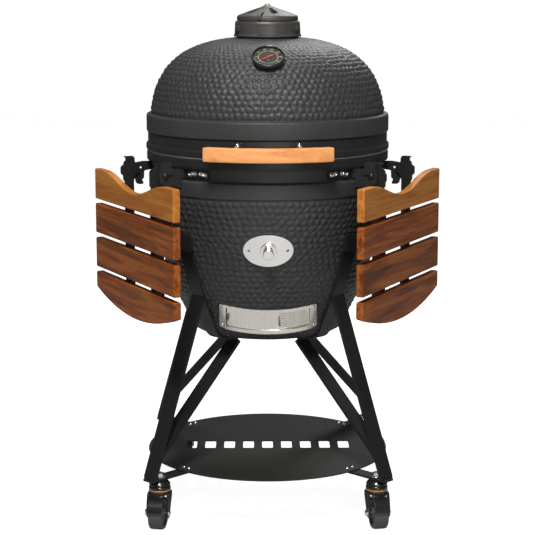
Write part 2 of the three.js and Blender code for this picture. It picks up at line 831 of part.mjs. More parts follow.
// Hood over the wheel, hanging from the crown: a band at an even distance from the tread.
function casterHood() {
  const arc = (radius, from, to) => {
    const points = [];
    for (let i = 0; i <= 8; i++) {
      const angle = THREE.MathUtils.degToRad(from + ((to - from) * i) / 8);
      points.push([CASTER_TRAIL + radius * Math.cos(angle), WHEEL_R + radius * Math.sin(angle)]);
    }
    return points;
  };
  const outline = [...arc(HOOD_R, 14, 78), [22, 91.5], [-8, 91.5], ...arc(HOOD_R - HOOD_THICK, 122, 14)];
  return sidePlate(outline, -HOOD_HALF, HOOD_HALF);
}

// Fork with its crown on the swivel axis, its hood, and its axle behind it.
function casterFork() {
  const side = [
    [-16, 92], [16, 92], [24, 72], [CASTER_TRAIL + 12, 34], [CASTER_TRAIL + 4, 27],
    [CASTER_TRAIL - 5, 27], [CASTER_TRAIL - 12, 36], [-14, 76],
  ];
  return join(
    disc(24, 90.5, 99, 12),
    casterHood(),
    sidePlate(side, 19.5, 23),
    sidePlate(side, -23, -19.5),
    rodX(AXLE_R, -27, 27, CASTER_TRAIL, WHEEL_R, 10),
  );
}

// Wheel with a rubber tread, about its own axle; it stands on one flat of its tread.
function casterWheel() {
  const flats = 16;
  const tread = WHEEL_R / Math.cos(Math.PI / flats);
  const wheel = lathe([
    [AXLE_R + 0.5, -17],
    [12, -17],
    [33, -15],
    [tread, -11],
    [tread, 11],
    [33, 15],
    [12, 17],
    [AXLE_R + 0.5, 17],
  ], flats);
  return wheel.rotateZ(Math.PI / flats).rotateY(Math.PI / 2);
}

function buildStand(stand) {
  for (const [corner, turn, trail] of CORNERS) {
    const angle = THREE.MathUtils.degToRad(turn);
    const legMesh = addPart(stand, `leg_${corner}`, leg(), blackSteel);
    legMesh.rotation.z = angle;

    const caster = new THREE.Group();
    caster.position.set(-CASTER_REACH * Math.sin(angle), CASTER_REACH * Math.cos(angle), GROUND);
    stand.add(caster);
    addPart(caster, `caster_stem_${corner}`, casterStem(), blackSteel);
    const swivel = new THREE.Group();
    swivel.rotation.z = THREE.MathUtils.degToRad(trail);
    caster.add(swivel);
    addPart(swivel, `caster_fork_${corner}`, casterFork(), blackSteel);
    const wheel = addPart(swivel, `caster_wheel_${corner}`, casterWheel(), rubber);
    wheel.position.set(0, CASTER_TRAIL, WHEEL_R);
  }
  addPart(stand, 'bottom_shelf', bottomShelf(), blackSteel);
}

// ---------------------------------------------------------------- side shelves

// A slat from an outline in the X-Z plane; its outer face is at SHELF_FACE.
function slat(shape) {
  return new THREE.ExtrudeGeometry(shape, { depth: SLAT_THICK, bevelEnabled: false, curveSegments: 12 })
    .rotateX(Math.PI / 2)
    .translate(0, SHELF_FACE, 0);
}

// The circle that passes a sagitta away from a straight edge of the shelf's length.
function edgeArc(sagitta) {
  const half = SHELF_LENGTH / 2;
  const radius = (half * half + sagitta * sagitta) / (2 * sagitta);
  return { radius, halfAngle: Math.asin(half / radius) };
}

function slatShape(low, high, topDip, bottomDrop) {
  const half = SHELF_LENGTH / 2;
  const shape = new THREE.Shape();
  shape.moveTo(-half, low);
  if (bottomDrop > 0) {
    const { radius, halfAngle } = edgeArc(bottomDrop);
    const middle = low - bottomDrop + radius;
    shape.absarc(0, middle, radius, -Math.PI / 2 - halfAngle, -Math.PI / 2 + halfAngle, false);
  }
  shape.lineTo(half, low);
  shape.lineTo(half, high);
  if (topDip > 0) {
    const run = half * DIP_SHARE;
    for (let i = 0; i <= 20; i++) {
      const share = 1 - i / 10;
      shape.lineTo(run * share, high - topDip * Math.cos((share * Math.PI) / 2) ** 2);
    }
  }
  shape.lineTo(-half, high);
  return shape;
}

// Slats from the top down: [low edge, high edge, dip of the top, drop of the bottom].
const SLATS = [
  [697, 769.5, 34, 0],
  [615.5, 686.5, 0, 0],
  [533, 604.5, 0, 0],
  [484, 522, 0, 38.5],
];

// Arm with a locking hook on top, a flange against the slats and the fold bolt.
function shelfArm() {
  const back = SHELF_FACE - SLAT_THICK - GAP;
  const web = sidePlate([
    [back - 22, 464], [back, 464], [back, 752], [331.5, 757], [331.5, 766], [337.5, 771],
    [337.5, 787], [330, 792], [329.5, 798], [325, 801], [325, 806], [330, 811], [307, 811],
    [303.5, 806], [303, 796], [293, 791], [290, 782], [293, 773], [303, 767], [back - 22, 755],
  ], ARM_OFFSET, ARM_OFFSET + ARM_THICK);
  const flange = box(ARM_OFFSET - 22, ARM_OFFSET + 1, back - 4, back, 464, 728);
  const outer = ARM_OFFSET + ARM_THICK;
  const bolt = rodX(4, outer - 1, outer + 8, FOLD_R, FOLD_Z);
  const head = rodX(7, outer + 6.6, outer + 11, FOLD_R, FOLD_Z);
  return join(web, flange, bolt, head);
}

// Strap round the bowl's recess with a plate out to each arm; the rear arm is at X = rearEnd.
function shelfBracket(rearEnd) {
  const strap = arcPlate(RECESS_R + 0.4, RECESS_R + 3.4, 180, 25, 775, 795);
  const inner = ARM_OFFSET + ARM_THICK + 1;
  const rearPlate = sidePlate([
    [257, 777], [277, 775], [278, 758], [283, 754], [279, 746], [281, 743.5], [292, 743.5],
    [297, 747], [299, 756], [312, 763], [316, 774], [316, 786], [311, 793], [280, 797],
    [264, 796.5], [257, 795],
  ], inner, inner + 5);
  const frontPlate = sidePlate([
    [257, 776], [264.5, 776], [264.5, 754], [316, 764], [318, 772], [318, 792], [314, 797],
    [314, 812], [288, 812], [287, 799], [282, 797], [264, 796.5], [257, 795],
  ], inner, inner + 5);
  const plates = rearEnd > 0 ? [rearPlate, mirroredX(frontPlate)] : [frontPlate, mirroredX(rearPlate)];
  const holes = rodX(4.5, -110, 110, FOLD_R, FOLD_Z);
  return cut(join(strap, ...plates), holes);
}

function buildShelf(side, sign) {
  const shelf = new THREE.Group();
  shelf.rotation.z = sign * SHELF_TURN;
  SLATS.forEach(([low, high, topDip, bottomDrop], i) => {
    addPart(shelf, `slat_${i + 1}_${side}`, slat(slatShape(low, high, topDip, bottomDrop)), wood);
  });
  // The group's +X end is the rear one on the left side and the front one on the right.
  const [plusEnd, minusEnd] = sign > 0 ? ['rear', 'front'] : ['front', 'rear'];
  addPart(shelf, `shelf_arm_${plusEnd}_${side}`, shelfArm(), blackSteel);
  addPart(shelf, `shelf_arm_${minusEnd}_${side}`, mirroredX(shelfArm()), blackSteel);
  addPart(shelf, `shelf_bracket_${side}`, shelfBracket(sign), blackSteel);
  return shelf;
}

function mirroredX(solid) {
  return solidOf(geometryOf(solid).scale(-1, 1, 1));
}

// ---------------------------------------------------------------- the whole grill

const kamado = new THREE.Group();
const lid = new THREE.Group();
const base = new THREE.Group();
const stand = new THREE.Group();
kamado.add(lid, base, stand);
buildLid(lid);
buildBase(base);
buildStand(stand);
kamado.add(buildShelf('left', 1), buildShelf('right', -1));
kamado.position.z = -GROUND;

export default kamado;
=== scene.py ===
"""Looks of the kamado grill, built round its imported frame.

Lengths in the shape code are millimetres and turn into metres as each mesh is made. Heights are
drawn from the same datum as the solids, which the bowl's own box gives.
"""

import math
import random

import bmesh
import bpy
import numpy as np
from mathutils import Matrix, Vector, kdtree


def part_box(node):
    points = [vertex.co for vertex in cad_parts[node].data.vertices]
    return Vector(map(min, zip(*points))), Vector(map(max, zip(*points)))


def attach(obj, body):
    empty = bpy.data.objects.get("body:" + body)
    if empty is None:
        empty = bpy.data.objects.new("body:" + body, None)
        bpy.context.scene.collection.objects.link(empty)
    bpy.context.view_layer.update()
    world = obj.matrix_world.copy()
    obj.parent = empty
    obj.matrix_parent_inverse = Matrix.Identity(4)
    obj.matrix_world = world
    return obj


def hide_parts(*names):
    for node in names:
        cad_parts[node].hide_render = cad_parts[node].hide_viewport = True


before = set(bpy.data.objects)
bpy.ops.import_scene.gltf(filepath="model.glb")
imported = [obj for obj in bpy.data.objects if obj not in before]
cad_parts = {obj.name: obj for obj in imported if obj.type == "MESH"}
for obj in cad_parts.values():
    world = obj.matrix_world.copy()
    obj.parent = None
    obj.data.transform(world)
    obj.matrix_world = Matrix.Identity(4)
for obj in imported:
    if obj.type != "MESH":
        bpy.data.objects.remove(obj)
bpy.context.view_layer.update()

MM = 0.001
TAU = 2 * math.pi
BOWL_LOW = 390.0  # height of the bowl's foot in the drawing
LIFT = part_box("bowl")[0].z / MM - BOWL_LOW  # from the drawing's datum to the ground
DATUM = Matrix.Translation((0, 0, LIFT * MM))
SIDES = (("left", 1), ("right", -1))


# ------------------------------------------------------------------ node materials


class Shader:
    """A material made of nodes, with short calls for the ones used here."""

    def __init__(self, name, **inputs):
        self.material = bpy.data.materials.new(name)
        self.material.use_nodes = True
        self.tree = self.material.node_tree
        self.surface = self.tree.nodes["Principled BSDF"]
        self.set(self.surface, **inputs)

    def set(self, node, **inputs):
        for key, value in inputs.items():
            socket = node.inputs[key.replace("_", " ")]
            if isinstance(value, bpy.types.NodeSocket):
                self.tree.links.new(value, socket)
            elif isinstance(value, (tuple, list)) and len(value) == 3 and socket.type == "RGBA":
                socket.default_value = (*value, 1)
            else:
                socket.default_value = value

    def node(self, kind, attributes=None, **inputs):
        made = self.tree.nodes.new("ShaderNode" + kind)
        for key, value in (attributes or {}).items():
            setattr(made, key, value)
        self.set(made, **inputs)
        return made

    def place(self, scale=(1, 1, 1), offset=(0, 0, 0)):
        coordinates = self.node("TexCoord").outputs["Object"]
        made = self.node("Mapping", Vector=coordinates, Scale=scale, Location=offset)
        return made.outputs["Vector"]

    def noise(self, scale, detail=4, roughness=0.55, distortion=0, vector=None):
        made = self.node("TexNoise", Scale=scale, Detail=detail, Roughness=roughness)
        self.set(made, Distortion=distortion, Vector=self.place() if vector is None else vector)
        return made.outputs["Fac"]

    def ramp(self, factor, *stops, smooth=False):
        made = self.node("ValToRGB", Fac=factor)
        made.color_ramp.interpolation = "EASE" if smooth else "LINEAR"
        elements = made.color_ramp.elements
        while len(elements) < len(stops):
            elements.new(0.5)
        for element, (position, colour) in zip(elements, stops):
            element.position = position
            element.color = (*colour, 1) if len(colour) == 3 else colour
        return made.outputs["Color"]

    def grey(self, factor, low, high, start=0.0, end=1.0):
        made = self.node("MapRange", Value=factor)
        self.set(made, From_Min=start, From_Max=end, To_Min=low, To_Max=high)
        return made.outputs["Result"]

    def mix(self, factor, a, b):
        made = self.node("Mix", {"data_type": "RGBA"})
        for socket, value in ((made.inputs[0], factor), (made.inputs[6], a), (made.inputs[7], b)):
            if isinstance(value, bpy.types.NodeSocket):
                self.tree.links.new(value, socket)
            else:
                socket.default_value = value if not isinstance(value, tuple) else (*value, 1)
        return made.outputs[2]

    def bump(self, height, strength, distance_mm, below=None):
        made = self.node("Bump", Height=height, Strength=strength, Distance=distance_mm * MM)
        if below is not None:
            self.set(made, Normal=below)
        return made.outputs["Normal"]


def shade(colour, amount):
    return tuple(c * amount for c in colour)


def ceramic(name, colour, rough):
    """Satin glaze with a sandy skin and faint clouds."""
    s = Shader(name, Specular_IOR_Level=0.32)
    clouds = s.noise(9, 3)
    speckle = s.noise(900, 2, 0.7)
    base = s.mix(s.grey(clouds, 0, 1, 0.3, 0.7), shade(colour, 0.88), shade(colour, 1.1))
    sand = s.grey(speckle, 0, 0.5, 0.35, 0.8)
    s.set(s.surface, Base_Color=s.mix(sand, base, shade(colour, 1.55)))
    s.set(s.surface, Roughness=s.grey(s.noise(60, 3), rough - 0.05, rough + 0.08))
    fine = s.bump(s.noise(330, 5, 0.7), 0.6, 0.7)
    s.set(s.surface, Normal=s.bump(s.noise(110, 3), 0.3, 1.0, fine))
    return s.material


def powder_coat(name, colour, rough):
    """Matt powder coat: a tight orange-peel skin."""
    s = Shader(name, Specular_IOR_Level=0.3)
    patches = s.noise(14, 2)
    s.set(s.surface, Base_Color=s.mix(patches, shade(colour, 0.85), shade(colour, 1.2)))
    s.set(s.surface, Roughness=s.grey(s.noise(120, 3), rough - 0.06, rough + 0.08))
    s.set(s.surface, Normal=s.bump(s.noise(700, 3, 0.6), 0.25, 0.25))
    return s.material


def brushed_metal(name, colour, rough, stretch):
    """Steel with hairlines along one axis: stretch is small along it and large across it."""
    s = Shader(name, Metallic=1.0)
    lines = s.noise(1, 6, 0.7, vector=s.place(scale=stretch))
    smear = s.noise(7, 2)
    tone = s.mix(s.grey(lines, 0, 1, 0.3, 0.7), shade(colour, 0.86), shade(colour, 1.08))
    dull = s.grey(smear, 0, 0.35, 0.35, 0.75)
    s.set(s.surface, Base_Color=s.mix(dull, tone, shade(colour, 0.72)))
    s.set(s.surface, Roughness=s.grey(lines, rough - 0.06, rough + 0.1))
    s.set(s.surface, Normal=s.bump(lines, 0.2, 0.15))
    return s.material


def spun_metal(name, colour, rough):
    """Turned steel: fine rings round the Y axis."""
    s = Shader(name, Metallic=1.0)
    flat = s.node("VectorMath", {"operation": "MULTIPLY"})
    s.tree.links.new(s.node("TexCoord").outputs["Object"], flat.inputs[0])
    flat.inputs[1].default_value = (1, 0, 1)
    reach = s.node("VectorMath", {"operation": "LENGTH"})
    s.tree.links.new(flat.outputs["Vector"], reach.inputs[0])
    across = s.node("CombineXYZ", X=reach.outputs["Value"])
    rings = s.noise(700, 4, 0.7, vector=across.outputs["Vector"])
    tone = s.grey(rings, 0, 1, 0.3, 0.7)
    s.set(s.surface, Base_Color=s.mix(tone, shade(colour, 0.84), shade(colour, 1.1)))
    s.set(s.surface, Roughness=s.grey(rings, rough - 0.05, rough + 0.14))
    s.set(s.surface, Normal=s.bump(rings, 0.06, 0.2))
    return s.material


def cast_metal(name, colour, rough, metallic):
    s = Shader(name, Metallic=metallic)
    s.set(s.surface, Base_Color=s.mix(s.noise(30, 4), shade(colour, 0.75), shade(colour, 1.3)))
    s.set(s.surface, Roughness=s.grey(s.noise(90, 3), rough - 0.07, rough + 0.1))
    grain = s.bump(s.noise(520, 3, 0.65), 0.45, 0.5)
    s.set(s.surface, Normal=s.bump(s.noise(60, 3), 0.3, 1.2, grain))
    return s.material


def timber(name, pale, mid, dark, seed, contrast=0.5):
    """Oiled board: growth bands along X, darker heart streaks, fibres and pores."""
    s = Shader(name, Specular_IOR_Level=0.22)
    shift = (seed * 1.37, seed * 2.11, seed * 0.73)
    rings = s.noise(1, 5, 0.62, 0.9, vector=s.place(scale=(3.2, 60, 60), offset=shift))
    body = s.ramp(rings, (0.28, dark), (0.44, mid), (0.58, pale), (0.74, mid), smooth=True)
    heart = s.noise(1, 4, 0.55, 1.6, vector=s.place(scale=(2.4, 26, 26), offset=shift[::-1]))
    body = s.mix(s.grey(heart, 0, contrast, 0.52, 0.64), body, shade(dark, 0.6))
    fibre = s.noise(1, 4, 0.7, vector=s.place(scale=(22, 560, 560), offset=shift))
    body = s.mix(s.grey(fibre, 0, 0.35, 0.4, 0.75), body, shade(dark, 0.9))
    s.set(s.surface, Base_Color=body)
    s.set(s.surface, Roughness=s.grey(fibre, 0.36, 0.54))
    s.set(s.surface, Normal=s.bump(fibre, 0.18, 0.3))
    return s.material


def plain(name, colour, rough, metallic=0.0, grain=260, depth=0.12, **inputs):
    """Moulded or turned pieces: even colour with a light surface grain."""
    s = Shader(name, Metallic=metallic, **inputs)
    s.set(s.surface, Base_Color=s.mix(s.noise(25, 3), shade(colour, 0.88), shade(colour, 1.12)))
    s.set(s.surface, Roughness=s.grey(s.noise(70, 3), max(0.02, rough - 0.05), rough + 0.07))
    s.set(s.surface, Normal=s.bump(s.noise(grain, 3), depth, 0.3))
    return s.material


def felt_cloth(name, colour):
    s = Shader(name, Roughness=0.95, Sheen_Weight=0.4)
    fuzz = s.noise(650, 4, 0.75)
    s.set(s.surface, Base_Color=s.mix(fuzz, shade(colour, 0.5), shade(colour, 1.5)))
    s.set(s.surface, Normal=s.bump(fuzz, 0.8, 0.8))
    return s.material


def clear_glass(name):
    """Thin clear glass: mostly see-through, with a faint wavy reflection."""
    s = Shader(name, Roughness=0.03, IOR=1.3, Alpha=0.06)
    s.set(s.surface, Base_Color=(0.02, 0.02, 0.02), Normal=s.bump(s.noise(12, 1), 0.02, 0.1))
    return s.material


glaze = ceramic("graphite_glaze", (0.031, 0.0325, 0.032), 0.44)
glaze_smooth = ceramic("graphite_glaze_smooth", (0.032, 0.0335, 0.033), 0.46)
fire_clay = cast_metal("fire_clay", (0.42, 0.34, 0.25), 0.9, 0.0)
band_coat = powder_coat("band_coat", (0.0155, 0.016, 0.0155), 0.40)
frame_coat = powder_coat("frame_coat", (0.0105, 0.0104, 0.0096), 0.45)
shelf_coat = powder_coat("shelf_coat", (0.016, 0.016, 0.0135), 0.6)
iron = cast_metal("grey_iron", (0.075, 0.070, 0.064), 0.45, 0.45)
black_iron = cast_metal("seasoned_iron", (0.028, 0.026, 0.024), 0.6, 0.3)
steel = brushed_metal("brushed_steel", (0.93, 0.89, 0.82), 0.27, (900, 900, 6))
bright = plain("bright_zinc", (0.80, 0.80, 0.79), 0.18, 1.0, 150, 0.05)
dark_zinc = plain("dark_zinc", (0.30, 0.30, 0.29), 0.3, 1.0, 150, 0.05)
# Dark steel on the door pulls is painted shadow: it stands in for the shade in the gap behind the
# door's bent edge, not the steel's own colour.
pull_painted_shadow = plain("pull_painted_shadow", (0.10, 0.098, 0.092), 0.4, 0.8, 150, 0.05)
felt = felt_cloth("gasket_felt", (0.22, 0.20, 0.165))
black_plastic = plain("black_plastic", (0.011,) * 3, 0.22, 0.0, 200, 0.04, Coat_Weight=0.4)
tread = plain("tread_rubber", (0.060, 0.060, 0.054), 0.55, 0.0, 320, 0.3)
orange = plain("orange_ring", (0.85, 0.30, 0.008), 0.4)
bezel = plain("bezel_enamel", (0.010, 0.011, 0.009), 0.16, 0.0, 120, 0.03, Coat_Weight=0.6)
dial_face = plain("dial_face", (0.052, 0.050, 0.037), 0.6, Specular_IOR_Level=0.15)
dial_print = plain("dial_print", (0.62, 0.58, 0.47), 0.5)
needle_red = plain("needle_red", (0.80, 0.055, 0.045), 0.5)
glass = clear_glass("dial_glass")
PALE = ((0.86, 0.385, 0.145), (0.79, 0.33, 0.115), (0.60, 0.21, 0.062))
grip_wood = timber("grip_wood", *PALE, 3.0, 0.1)
hub_plastic = plain("hub_plastic", (0.060, 0.060, 0.056), 0.5, 0.0, 240, 0.2)
port_steel = spun_metal("port_steel", (0.94, 0.92, 0.895), 0.19)
dark_coat = powder_coat("dark_coat", (0.012, 0.012, 0.011), 0.35)
GOLD = ((0.52, 0.205, 0.036), (0.42, 0.145, 0.020), (0.22, 0.062, 0.009))
RED = ((0.36, 0.105, 0.016), (0.235, 0.056, 0.007), (0.070, 0.0145, 0.0028))


def shelf_boards(side, seed):
    """Woods of one shelf's four slats from the top down; the first is paler, with less heart."""
    boards = [timber(f"slat_{side}_1", *GOLD, seed, 0.25)]
    boards += [timber(f"slat_{side}_{i + 1}", *RED, seed + 5.3 * i, 0.6) for i in range(1, 4)]
    return boards


slat_wood = {"left": shelf_boards("left", 1.7), "right": shelf_boards("right", 31.9)}


# ------------------------------------------------------------------ mesh makers


def finished(name, verts, faces, material, matrix=DATUM, sharp=38):
    """A piece from vertices in millimetres, placed by a matrix and smooth below the sharp angle."""
    mesh = bpy.data.meshes.new(name)
    mesh.from_pydata([tuple(c * MM for c in v) for v in verts], [], faces)
    mesh.validate()
    work = bmesh.new()
    work.from_mesh(mesh)
    bmesh.ops.remove_doubles(work, verts=work.verts, dist=2e-6)
    bmesh.ops.recalc_face_normals(work, faces=work.faces)
    work.to_mesh(mesh)
    work.free()
    return as_piece(name, mesh, material, matrix, sharp)


def as_piece(name, mesh, material, matrix, sharp):
    mesh.polygons.foreach_set("use_smooth", [True] * len(mesh.polygons))
    if sharp < 180:
        mesh.set_sharp_from_angle(angle=math.radians(sharp))
    for one in material if isinstance(material, (list, tuple)) else [material]:
        mesh.materials.append(one)
    piece = bpy.data.objects.new(name, mesh)
    bpy.context.scene.collection.objects.link(piece)
    piece.matrix_world = matrix
    return piece


def soften(piece, width, segments=2):
    bevel = piece.modifiers.new("edges", "BEVEL")
    bevel.width = width * MM
    bevel.segments = segments
    bevel.limit_method = "ANGLE"
    bevel.angle_limit = math.radians(35)
    bevel.harden_normals = False
    return piece


def fillet(points, radius, steps=3, closed=True):
    """Rounds the corners of a line of 2-D points."""
    out = []
    count = len(points)
    for i, point in enumerate(points):
        if not closed and i in (0, count - 1):
            out.append(tuple(point))
            continue
        p = Vector(point)
        a = Vector(points[i - 1]) - p
        b = Vector(points[(i + 1) % count]) - p
        own = radius[i] if isinstance(radius, (list, tuple)) else radius
        reach = min(own, a.length * 0.45, b.length * 0.45)
        if reach < 1e-6 or a.normalized().dot(b.normalized()) < -0.999:
            out.append(tuple(point))
            continue
        start, end = p + a.normalized() * reach, p + b.normalized() * reach
        for k in range(steps + 1):
            t = k / steps
            out.append(tuple(start * (1 - t) ** 2 + p * 2 * t * (1 - t) + end * t * t))
    return out


def revolve(profile, segments=96, turn=TAU, closed=True):
    """Verts and faces of a profile of (radius, height) turned about Z."""
    verts, faces = [], []
    rows = len(profile)
    whole = abs(turn - TAU) < 1e-6
    columns = segments if whole else segments + 1
    for j in range(columns):
        angle = turn * j / segments
        c, s = math.cos(angle), math.sin(angle)
        verts.extend((r * c, r * s, z) for r, z in profile)
    span = rows if closed else rows - 1
    for j in range(segments):
        k = (j + 1) % columns
        for i in range(span):
            n = (i + 1) % rows
            faces.append((j * rows + i, k * rows + i, k * rows + n, j * rows + n))
    if not whole and closed:
        faces.append(tuple(range(rows)))
        faces.append(tuple(reversed(range((columns - 1) * rows, columns * rows))))
    return verts, [f for f in faces if len({verts[i] for i in f}) > 2]


def extrude(outline, low, high):
    """A prism along Z from a closed outline."""
    n = len(outline)
    verts = [(x, y, low) for x, y in outline] + [(x, y, high) for x, y in outline]
    faces = [tuple(reversed(range(n))), tuple(range(n, 2 * n))]
    faces += [(i, (i + 1) % n, (i + 1) % n + n, i + n) for i in range(n)]
    return verts, faces


def remap(shape, change):
    verts, faces = shape
    return [tuple(change(Vector(v))) for v in verts], faces


def side_plate(outline, x0, x1):
    """A prism along X from an outline of (y, z)."""
    return remap(extrude(outline, x0, x1), lambda v: (v.z, v.x, v.y))


def block(x0, x1, y0, y1, z0, z1):
    return extrude([(x0, y0), (x1, y0), (x1, y1), (x0, y1)], z0, z1)


def rounded_box(x0, x1, y0, y1, radius):
    return fillet([(x0, y0), (x1, y0), (x1, y1), (x0, y1)], radius, 5)


def merged(*shapes):
    verts, faces = [], []
    for some_verts, some_faces in shapes:
        start = len(verts)
        verts += list(some_verts)
        faces += [tuple(i + start for i in face) for face in some_faces]
    return verts, faces


def as_shape(mesh, scale=1.0):
    """Verts and faces of a mesh."""
    return [tuple(v.co * scale) for v in mesh.vertices], [tuple(f.vertices) for f in mesh.polygons]


def moved(shape, matrix):
    return [tuple(matrix @ Vector(v)) for v in shape[0]], shape[1]


def at(x, y, z):
    return Matrix.Translation((x, y, z))


def turned(degrees, axis):
    return Matrix.Rotation(math.radians(degrees), 4, axis)


def tube(path, radius, sides=10, closed=False):
    """A round bar along a path of points."""
    points = [Vector(p) for p in path]
    n = len(points)
    verts, faces = [], []
    normal = None
    for i, p in enumerate(points):
        if closed:
            along = (points[(i + 1) % n] - points[i - 1]).normalized()
        else:
            along = (points[min(i + 1, n - 1)] - points[max(i - 1, 0)]).normalized()
        if normal is None:
            normal = along.orthogonal().normalized()
        normal = (normal - along * normal.dot(along)).normalized()
        across = along.cross(normal)
        for k in range(sides):
            a = TAU * k / sides
            spoke = normal * (radius * math.cos(a)) + across * (radius * math.sin(a))
            verts.append(tuple(p + spoke))
    for i in range(n if closed else n - 1):
        m = (i + 1) % n
        for k in range(sides):
            q = (k + 1) % sides
            faces.append((i * sides + k, i * sides + q, m * sides + q, m * sides + k))
    if not closed:
        faces.append(tuple(reversed(range(sides))))
        faces.append(tuple(range((n - 1) * sides, n * sides)))
    return verts, faces


def rod(radius, length, sides=24, chamfer=0.6):
    """A round bar from the origin up Z."""
    c = chamfer
    low, high = [(0, 0), (radius - c, 0), (radius, c)], [(radius, length - c), (radius - c, length)]
    return revolve(low + high + [(0, length)], sides, closed=False)


def hex_nut(across, height):
    """A hexagon nut, up Z from the origin."""
    r = across / math.sqrt(3)
    outline = [(r * math.cos(TAU * k / 6), r * math.sin(TAU * k / 6)) for k in range(6)]
    return extrude(outline, 0, height)


def acorn_nut(across):
    """A hexagon nut with a domed cap, on its washer."""
    washer = revolve(fillet([(1, 0), (across * 0.72, 0), (across * 0.72, 1.2), (1, 1.2)], 0.4), 24)
    nut = moved(hex_nut(across, across * 0.45), at(0, 0, 1.2))
    top = 1.2 + across * 0.45
    r = across * 0.46
    spring = top + across * 0.12
    cap = [(0, top - 0.5), (r, top - 0.5), (r, spring)]
    cap += [(r * math.cos(a), spring + r * math.sin(a)) for a in np.linspace(0.15, math.pi / 2, 6)]
    return merged(washer, nut, revolve(cap, 18, closed=False))


def pan_head(radius, height):
    """A rounded screw head with a shallow round pit."""
    curve = [(0, height * 0.55), (radius * 0.22, height * 0.55), (radius * 0.32, height)]
    curve += [(radius * math.cos(a), height * math.sin(a)) for a in np.linspace(1.1, 0, 6)]
    curve += [(0, 0)]
    return revolve(curve, 20, closed=False)


def ride_as(piece, body, slot, *nodes):
    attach(piece, body)
    if nodes:
        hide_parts(*nodes)
    return piece


def add(name, shape, material, body, slot, *nodes, frame_at=DATUM, soft=0.0, segments=2, sharp=38):
    """A piece of the model, on its body, with the nodes it stands for; the slot is not used."""
    piece = finished(name, *shape, material, frame_at, sharp)
    if soft:
        soften(piece, soft, segments)
    return ride_as(piece, body, slot, *nodes)


def dress(node, material, bevel=0.0, segments=2):
    """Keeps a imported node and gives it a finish, with softened edges."""
    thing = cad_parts[node]
    thing.data.materials.clear()
    thing.data.materials.append(material)
    if bevel:
        soften(thing, bevel, segments)
    return thing


# ------------------------------------------------------------------ pebbled ceramic


def arc_line(points, spacing):
    """The points again, at an even spacing along the line."""
    p = np.array(points, float)
    run = np.r_[0, np.cumsum(np.hypot(*np.diff(p, axis=0).T))]
    count = max(2, int(round(run[-1] / spacing)) + 1)
    t = np.linspace(0, run[-1], count)
    return np.c_[np.interp(t, run, p[:, 0]), np.interp(t, run, p[:, 1])], t


def spline(points, steps=14):
    """A smooth line through the points."""
    p = [Vector(q) for q in points]
    p = [p[0] * 2 - p[1]] + p + [p[-1] * 2 - p[-2]]
    out = []
    for i in range(1, len(p) - 2):
        for k in range(steps):
            t = k / steps
            a, b, c, d = p[i - 1], p[i], p[i + 1], p[i + 2]
            square = 2 * a - 5 * b + 4 * c - d
            cube = 3 * b - a - 3 * c + d
            out.append(0.5 * (2 * b + (c - a) * t + square * t**2 + cube * t**3))
    out.append(p[-2])
    return [tuple(q) for q in out]


def pebble_centres(line, run, pitch_at, rng, start, end):
    """Centres of the pebbles, in rows along the line of (radius, height)."""
    centres = []
    s, row, count = start, 0, 1
    while s < end:
        r, z = np.interp(s, run, line[:, 0]), np.interp(s, run, line[:, 1])
        pitch = pitch_at(r, z)
        if not 0.95 < TAU * r / count / pitch < 1.05:
            count = max(8, int(round(TAU * r / pitch * (1.04 if row == 0 else 0.96))))
        phase = (row % 2) * 0.5 + rng.uniform(-0.08, 0.08)
        for k in range(count):
            ds = s + rng.uniform(-0.16, 0.16) * pitch
            rr, zz = np.interp(ds, run, line[:, 0]), np.interp(ds, run, line[:, 1])
            angle = TAU * (k + phase + rng.uniform(-0.17, 0.17)) / count
            centres.append((rr * math.cos(angle), rr * math.sin(angle), zz, rng.uniform(0.7, 1.12)))
        s += pitch * 0.86
        row += 1
    return centres


def pebbled(points, columns, spacing, pitch_at, height_at, seed):
    """Rings of vertices on a turned surface raised into pebbles. Returns an array of rows."""
    line, run = arc_line(points, spacing)
    rng = random.Random(seed)
    start = pitch_at(*line[0]) * 0.62
    end = run[-1] - pitch_at(*line[-1]) * 0.5
    centres = pebble_centres(line, run, pitch_at, rng, start, end)
    tree = kdtree.KDTree(len(centres))
    for i, c in enumerate(centres):
        tree.insert(c[:3], i)
    tree.balance()
    slope = np.gradient(line, axis=0)
    slope /= np.linalg.norm(slope, axis=1)[:, None]
    outward = np.c_[slope[:, 1], -slope[:, 0]]
    if outward[len(line) // 2, 0] < 0:
        outward = -outward
    angles = TAU * np.arange(columns) / columns
    ring = np.c_[np.cos(angles), np.sin(angles)]
    rows = np.empty((len(line), columns, 3))
    for i, (r, z) in enumerate(line):
        base = np.c_[ring * r, np.full(columns, z)]
        top = height_at(r, z)
        lift = np.zeros(columns)
        for j in range(columns):
            (_, index, near), (_, _, far) = tree.find_n(base[j], 2)
            edge = 2 * near / (near + far)  # 0 at a pebble's middle, 1 where it meets its neighbour
            lift[j] = centres[index][3] * top * (1 - edge**1.9)
        rows[i, :, 0:2] = ring * (r + lift * outward[i, 0])[:, None]
        rows[i, :, 2] = z + lift * outward[i, 1]
    return rows


def ring_rows(profile, columns):
    angles = TAU * np.arange(columns) / columns
    rows = np.empty((len(profile), columns, 3))
    for i, (r, z) in enumerate(profile):
        rows[i, :, 0], rows[i, :, 1], rows[i, :, 2] = r * np.cos(angles), r * np.sin(angles), z
    return rows


